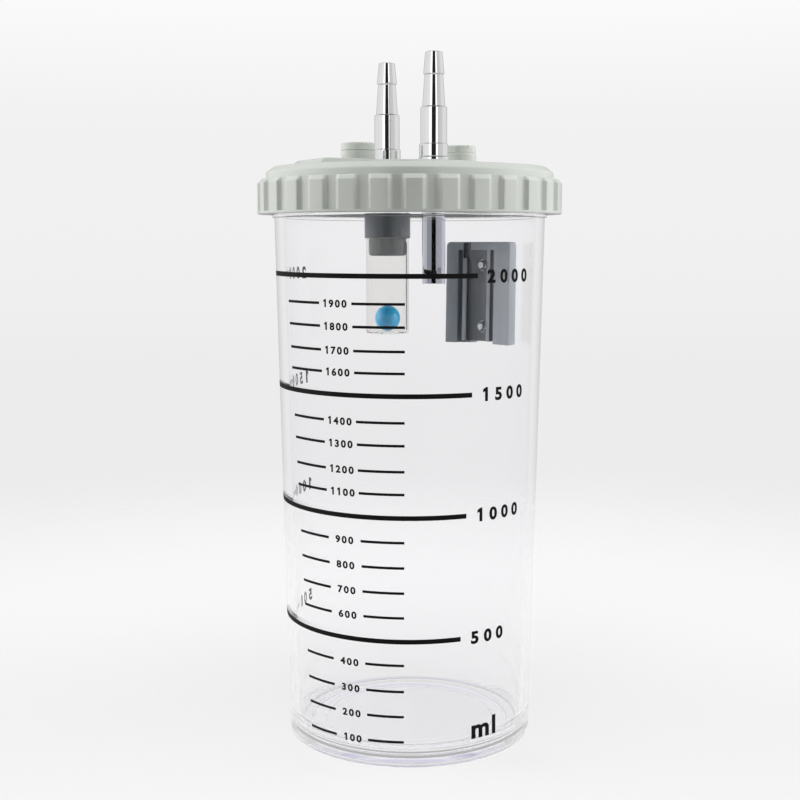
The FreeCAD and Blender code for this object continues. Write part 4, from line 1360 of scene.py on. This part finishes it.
# Degrees round from the print's middle, at the foot and the top where there are two.
RIGHT_LABEL = (61.5, 67.7)
LEFT_LABEL = -71.0
SMALL_LABEL = (9.0, 3.7)
UNIT_AZIMUTH = 72.7
UNIT_BASELINE = 11.1
# Cap height and pitch in millimetres, and weight as a share of the cap height.
LABEL_STYLE = (5.4, 6.95, 0.060)
SMALL_STYLE = (3.1, 3.25, 0.058)
UNIT_STYLE = (8.6, 7.7, 0.05)


def outlined_one(cap_height):
    """A figure one with a flag, which the built-in typeface draws as a bare stroke."""
    corners = ((0.10, 0.0), (0.10, 1.0), (0.01, 1.0), (-0.20, 0.86), (-0.20, 0.74), (-0.03, 0.83),
               (-0.03, 0.0))
    curve = bpy.data.curves.new("glyph_1", "CURVE")
    curve.dimensions = "2D"
    curve.fill_mode = "BOTH"
    spline = curve.splines.new("POLY")
    spline.points.add(len(corners) - 1)
    for point, (x, y) in zip(spline.points, corners):
        point.co = (x * cap_height, y * cap_height, 0.0, 1.0)
    spline.use_cyclic_u = True
    return curve


def glyph(character, cap_height, weight):
    """One character as a flat film: X across, Y thickness, Z up, centred on X at the baseline."""
    if character == "1":
        curve = outlined_one(cap_height)
    else:
        curve = bpy.data.curves.new("glyph_" + character, "FONT")
        curve.body = character
        curve.size = cap_height / CAP_SHARE
        curve.align_x = "CENTER"
    curve.offset = weight * cap_height
    curve.extrude = INK_THICKNESS / 2
    curve.resolution_u = 6
    letter = bpy.data.objects.new("glyph", curve)
    bpy.context.scene.collection.objects.link(letter)
    depsgraph = bpy.context.evaluated_depsgraph_get()
    mesh = bpy.data.meshes.new_from_object(letter.evaluated_get(depsgraph), depsgraph=depsgraph)
    bpy.data.objects.remove(letter)
    bpy.data.curves.remove(curve)
    return mesh


def lettering(text, middle, baseline, cap_height, pitch, weight):
    """Flat lettering in one bmesh, sliced for bending; lengths in millimetres."""
    shape = bmesh.new()
    for i, character in enumerate(text):
        mesh = glyph(character, cap_height, weight)
        shift = middle + (i - (len(text) - 1) / 2) * pitch
        # Text X, Y and Z become distance round the wall, height and thickness.
        mesh.transform(Matrix(((GLYPH_STRETCH, 0, 0, shift), (0, 0, 1, INK_THICKNESS / 2),
                               (0, 1, 0, baseline), (0, 0, 0, 1))))
        shape.from_mesh(mesh)
        bpy.data.meshes.remove(mesh)
    bmesh.ops.remove_doubles(shape, verts=shape.verts, dist=0.0005)
    left = min(v.co.x for v in shape.verts)
    right = max(v.co.x for v in shape.verts)
    for i in range(1, int((right - left) / SLICE) + 1):
        bmesh.ops.bisect_plane(shape, geom=shape.verts[:] + shape.edges[:] + shape.faces[:],
                               plane_co=(left + i * SLICE, 0, 0), plane_no=(1, 0, 0))
    bmesh.ops.scale(shape, vec=(MM, MM, MM), verts=shape.verts)
    return shape


def number_marks():
    """Every number as text, azimuth, height of its middle and style."""
    for volume, height in mark_heights.items():
        text = str(volume)
        if volume % MAJOR_STEP == 0:
            length = (len(text) - PITCH_GAP) * LABEL_STYLE[1]
            half = math.degrees(length / 2 / wall_radius(height))
            yield text, spread(RIGHT_LABEL, height) + half, height, LABEL_STYLE
            yield text, LEFT_LABEL, height, LABEL_STYLE
        else:
            yield text, spread(SMALL_LABEL, height), height, SMALL_STYLE


def add_word(whole, text, azimuth, height, baseline, style):
    """Add a word at this azimuth, measured round the wall at this height."""
    word = lettering(text, math.radians(azimuth) * wall_radius(height), baseline, *style)
    part = bpy.data.meshes.new("word")
    word.to_mesh(part)
    word.free()
    whole.from_mesh(part)
    bpy.data.meshes.remove(part)


print_shape = bmesh.new()
for text, azimuth, height, style in number_marks():
    add_word(print_shape, text, azimuth, height, height - style[0] / 2, style)
add_word(print_shape, "ml", UNIT_AZIMUTH, UNIT_BASELINE, UNIT_BASELINE, UNIT_STYLE)
numbers = bpy.data.meshes.new("numbers")
print_shape.to_mesh(numbers)
print_shape.free()
dressed(wrapped("scale_numbers", numbers), "jar", None)

# %% [markdown]
# The floor is a pale disc that fades out with distance, so that it catches the foot's soft
# shadow and has no horizon. Matt surfaces see it darker than the camera does, because in the
# picture little light comes up from below.

# %% Floor
FLOOR_RADIUS = 1.4
FADE_START = 0.22
FADE_END = 0.75
FLOOR_WHITE = 0.745
FLOOR_BOUNCE = 0.20


def floor_material():
    """Matt white that turns transparent away from the object."""
    material = bpy.data.materials.new("studio_floor")
    material.use_nodes = True
    tree = material.node_tree
    tree.nodes.remove(tree.nodes["Principled BSDF"])
    place = tree.nodes.new("ShaderNodeTexCoord").outputs["Object"]
    distance = add_node(tree, "ShaderNodeVectorMath", {0: place}, operation="LENGTH")
    fade = map_range(tree, distance.outputs["Value"], FADE_START, FADE_END, smooth=True)
    bounced = tree.nodes.new("ShaderNodeLightPath").outputs["Is Diffuse Ray"]
    shade = map_range(tree, bounced, 0.0, 1.0, FLOOR_WHITE, FLOOR_BOUNCE)
    matt = add_node(tree, "ShaderNodeBsdfDiffuse", {"Color": shade})
    clear = tree.nodes.new("ShaderNodeBsdfTransparent")
    mix = add_node(tree, "ShaderNodeMixShader",
                   {0: fade, 1: matt.outputs[0], 2: clear.outputs[0]})
    tree.links.new(mix.outputs[0], tree.nodes["Material Output"].inputs["Surface"])
    return material


floor_shape = bmesh.new()
bmesh.ops.create_circle(floor_shape, cap_ends=True, segments=128, radius=FLOOR_RADIUS)
floor_mesh = bpy.data.meshes.new("studio_floor")
floor_shape.to_mesh(floor_mesh)
floor_shape.free()
floor_mesh.materials.append(floor_material())
studio_floor = bpy.data.objects.new("studio_floor", floor_mesh)
bpy.context.scene.collection.objects.link(studio_floor)

# %% [markdown]
# The camera. Its place was fitted to the jar's outline in the picture: a slightly long lens
# 0.6 metres away, tipped down seven degrees, and 35 degrees round to the right of the middle
# of the print.

# %% Camera
CAMERA_AZIMUTH = math.radians(38.35)
CAMERA_DISTANCE = 0.610
CAMERA_HEIGHT = 0.2303
CAMERA_PITCH = math.radians(7.02)
LENS = 59.5
PICTURE_SHIFT = -0.012
camera_data = bpy.data.cameras.new("camera")
camera_data.lens = LENS
camera_data.shift_x = PICTURE_SHIFT
camera = bpy.data.objects.new("camera", camera_data)
camera.location = (CAMERA_DISTANCE * math.sin(CAMERA_AZIMUTH),
                   -CAMERA_DISTANCE * math.cos(CAMERA_AZIMUTH), CAMERA_HEIGHT)
camera.rotation_euler = (math.pi / 2 - CAMERA_PITCH, 0.0, CAMERA_AZIMUTH)
bpy.context.scene.collection.objects.link(camera)
bpy.context.scene.camera = camera
print("camera at", [round(v, 3) for v in camera.location])

# %% [markdown]
# The world is a photographer's studio, and it answers each kind of ray in its own way, as a
# set with screens and flags does. The camera, and rays that only passed through clear
# plastic, see a plain pale backdrop. Polished metal in the open mirrors two bright strips
# beside the camera, a dark gap where the camera stands, and pale walls. The metal tube
# inside the jar mirrors softer walls, as it is seen through the plastic. Matt surfaces are
# lit by two softboxes at the sides and one above, and are dim from the camera's side.

# %% Studio world
# Degrees round from the camera's own direction, and how bright the studio is there.
MIRRORED_STUDIO = ((-180, 0.45), (-152, 0.48), (-138, 0.88), (-82, 0.88), (-70, 0.95), (-41, 0.95),
                   (-38, 1.6), (-19.5, 1.6), (-18, 0.02), (17, 0.02), (18.5, 1.6), (31, 1.6),
                   (34, 0.68), (76, 0.72), (82, 0.88), (138, 0.88), (152, 0.48), (180, 0.45))
TUBE_STUDIO = ((-180, 0.80), (-110, 0.60), (-74, 0.55), (-66, 0.30), (-34, 0.32), (-26, 0.40),
               (-21, 0.0), (18, 0.0), (22, 0.40), (82, 0.46), (92, 0.62), (180, 0.70))
LIGHTING_STUDIO = ((-180, 0.30), (-134, 0.40), (-118, 3.9), (-80, 3.9), (-67, 0.10), (0, 0.03),
                   (55, 0.08), (69, 3.5), (110, 3.5), (126, 0.40), (180, 0.30))
TOP_STUDIO = ((-180, 0.6), (-120, 0.6), (-60, 2.0), (60, 2.0), (120, 0.6), (180, 0.6))
# Degrees above the horizon and how bright the backdrop is there.
BACKDROP = ((-30, 0.913), (-22, 0.913), (-18, 0.896), (-16, 0.863), (-14, 0.86), (-13, 0.84),
            (-5.3, 0.84), (-3, 0.86), (0, 0.875), (4, 0.88), (5.3, 0.888), (7.4, 0.922),
            (9.4, 0.956), (90, 0.96))
TUBE_TINT = (0.97, 0.99, 1.10)
MIRRORED_TOP = 0.15
BELOW_LIGHT = 0.80
WALL_GLOW = 0.80
# Degrees above the horizon between which the top light, and the light below, set in.
TOP_FROM = (30.0, 60.0)
BELOW_FROM = (-5.0, -20.0)
# A ray that the tube mirrors has crossed four clear surfaces when it leaves the jar.
SURFACES_CROSSED = 4.0


def brightness_ramp(tree, factor, stops, low=-180.0, high=180.0, tint=(1.0, 1.0, 1.0)):
    """A ramp over a range of degrees, grey or with a light tint."""
    share = map_range(tree, factor, low, high)
    ramp = add_node(tree, "ShaderNodeValToRGB", {0: share})
    points = ramp.color_ramp.elements
    while len(points) < len(stops):
        points.new(0.5)
    for point, (degrees, brightness) in zip(points, stops):
        point.position = (degrees - low) / (high - low)
        point.color = (*(brightness * part for part in tint), 1.0)
    return ramp.outputs[0]


def grey(level):
    """A grey of this brightness."""
    return (level, level, level, 1.0)


def studio_world():
    """Backdrop, mirrored studio and lighting studio, chosen by the kind of ray."""
    world = bpy.data.worlds.new("studio")
    world.use_nodes = True
    tree = world.node_tree

    def mixed(factor, first, second):
        """A colour between two others in this world."""
        return mixed_colour(tree, factor, first, second)

    direction = tree.nodes.new("ShaderNodeTexCoord").outputs["Generated"]
    axes = add_node(tree, "ShaderNodeSeparateXYZ", {0: direction}).outputs
    behind = math_node(tree, "MULTIPLY", axes["Y"], -1.0)
    azimuth = math_node(tree, "ARCTAN2", axes["X"], behind)
    turned_in = math_node(tree, "WRAP", math_node(tree, "SUBTRACT", azimuth, CAMERA_AZIMUTH),
                          math.pi, -math.pi)
    degrees = math_node(tree, "DEGREES", turned_in)
    elevation = math_node(tree, "DEGREES", math_node(tree, "ARCSINE", axes["Z"]))
    backdrop = brightness_ramp(tree, elevation, BACKDROP, BACKDROP[0][0], BACKDROP[-1][0])
    mirrored = brightness_ramp(tree, degrees, MIRRORED_STUDIO)
    lighting = brightness_ramp(tree, degrees, LIGHTING_STUDIO)
    on_tube = brightness_ramp(tree, degrees, TUBE_STUDIO, tint=TUBE_TINT)
    top_light = brightness_ramp(tree, degrees, TOP_STUDIO)
    upper = map_range(tree, elevation, *TOP_FROM)
    lower = map_range(tree, elevation, *BELOW_FROM)
    lighting = mixed(lower, mixed(upper, lighting, top_light), grey(BELOW_LIGHT))
    mirrored = mixed(lower, mixed(upper, mirrored, grey(MIRRORED_TOP)), grey(BELOW_LIGHT))
    path = tree.nodes.new("ShaderNodeLightPath").outputs
    never_matt = math_node(tree, "LESS_THAN", path["Diffuse Depth"], 0.5)
    never_mirrored = math_node(tree, "LESS_THAN", path["Glossy Depth"], 0.5)
    passed = math_node(tree, "MULTIPLY", path["Is Transmission Ray"],
                       math_node(tree, "MULTIPLY", never_matt, never_mirrored))
    seen = math_node(tree, "MAXIMUM", path["Is Camera Ray"], passed)
    was_mirrored = math_node(tree, "MULTIPLY", path["Is Transmission Ray"],
                             math_node(tree, "SUBTRACT", 1.0, never_mirrored))
    from_inside = math_node(tree, "COMPARE", path["Transmission Depth"],
                            SURFACES_CROSSED, 0.5)
    through_wall = mixed(from_inside, grey(WALL_GLOW), on_tube)
    lit = mixed(path["Is Glossy Ray"], lighting, mirrored)
    colour = mixed(seen, mixed(was_mirrored, lit, through_wall), backdrop)
    tree.links.new(colour, tree.nodes["Background"].inputs["Color"])
    return world


bpy.context.scene.world = studio_world()
bpy.context.scene.view_settings.view_transform = "Standard"
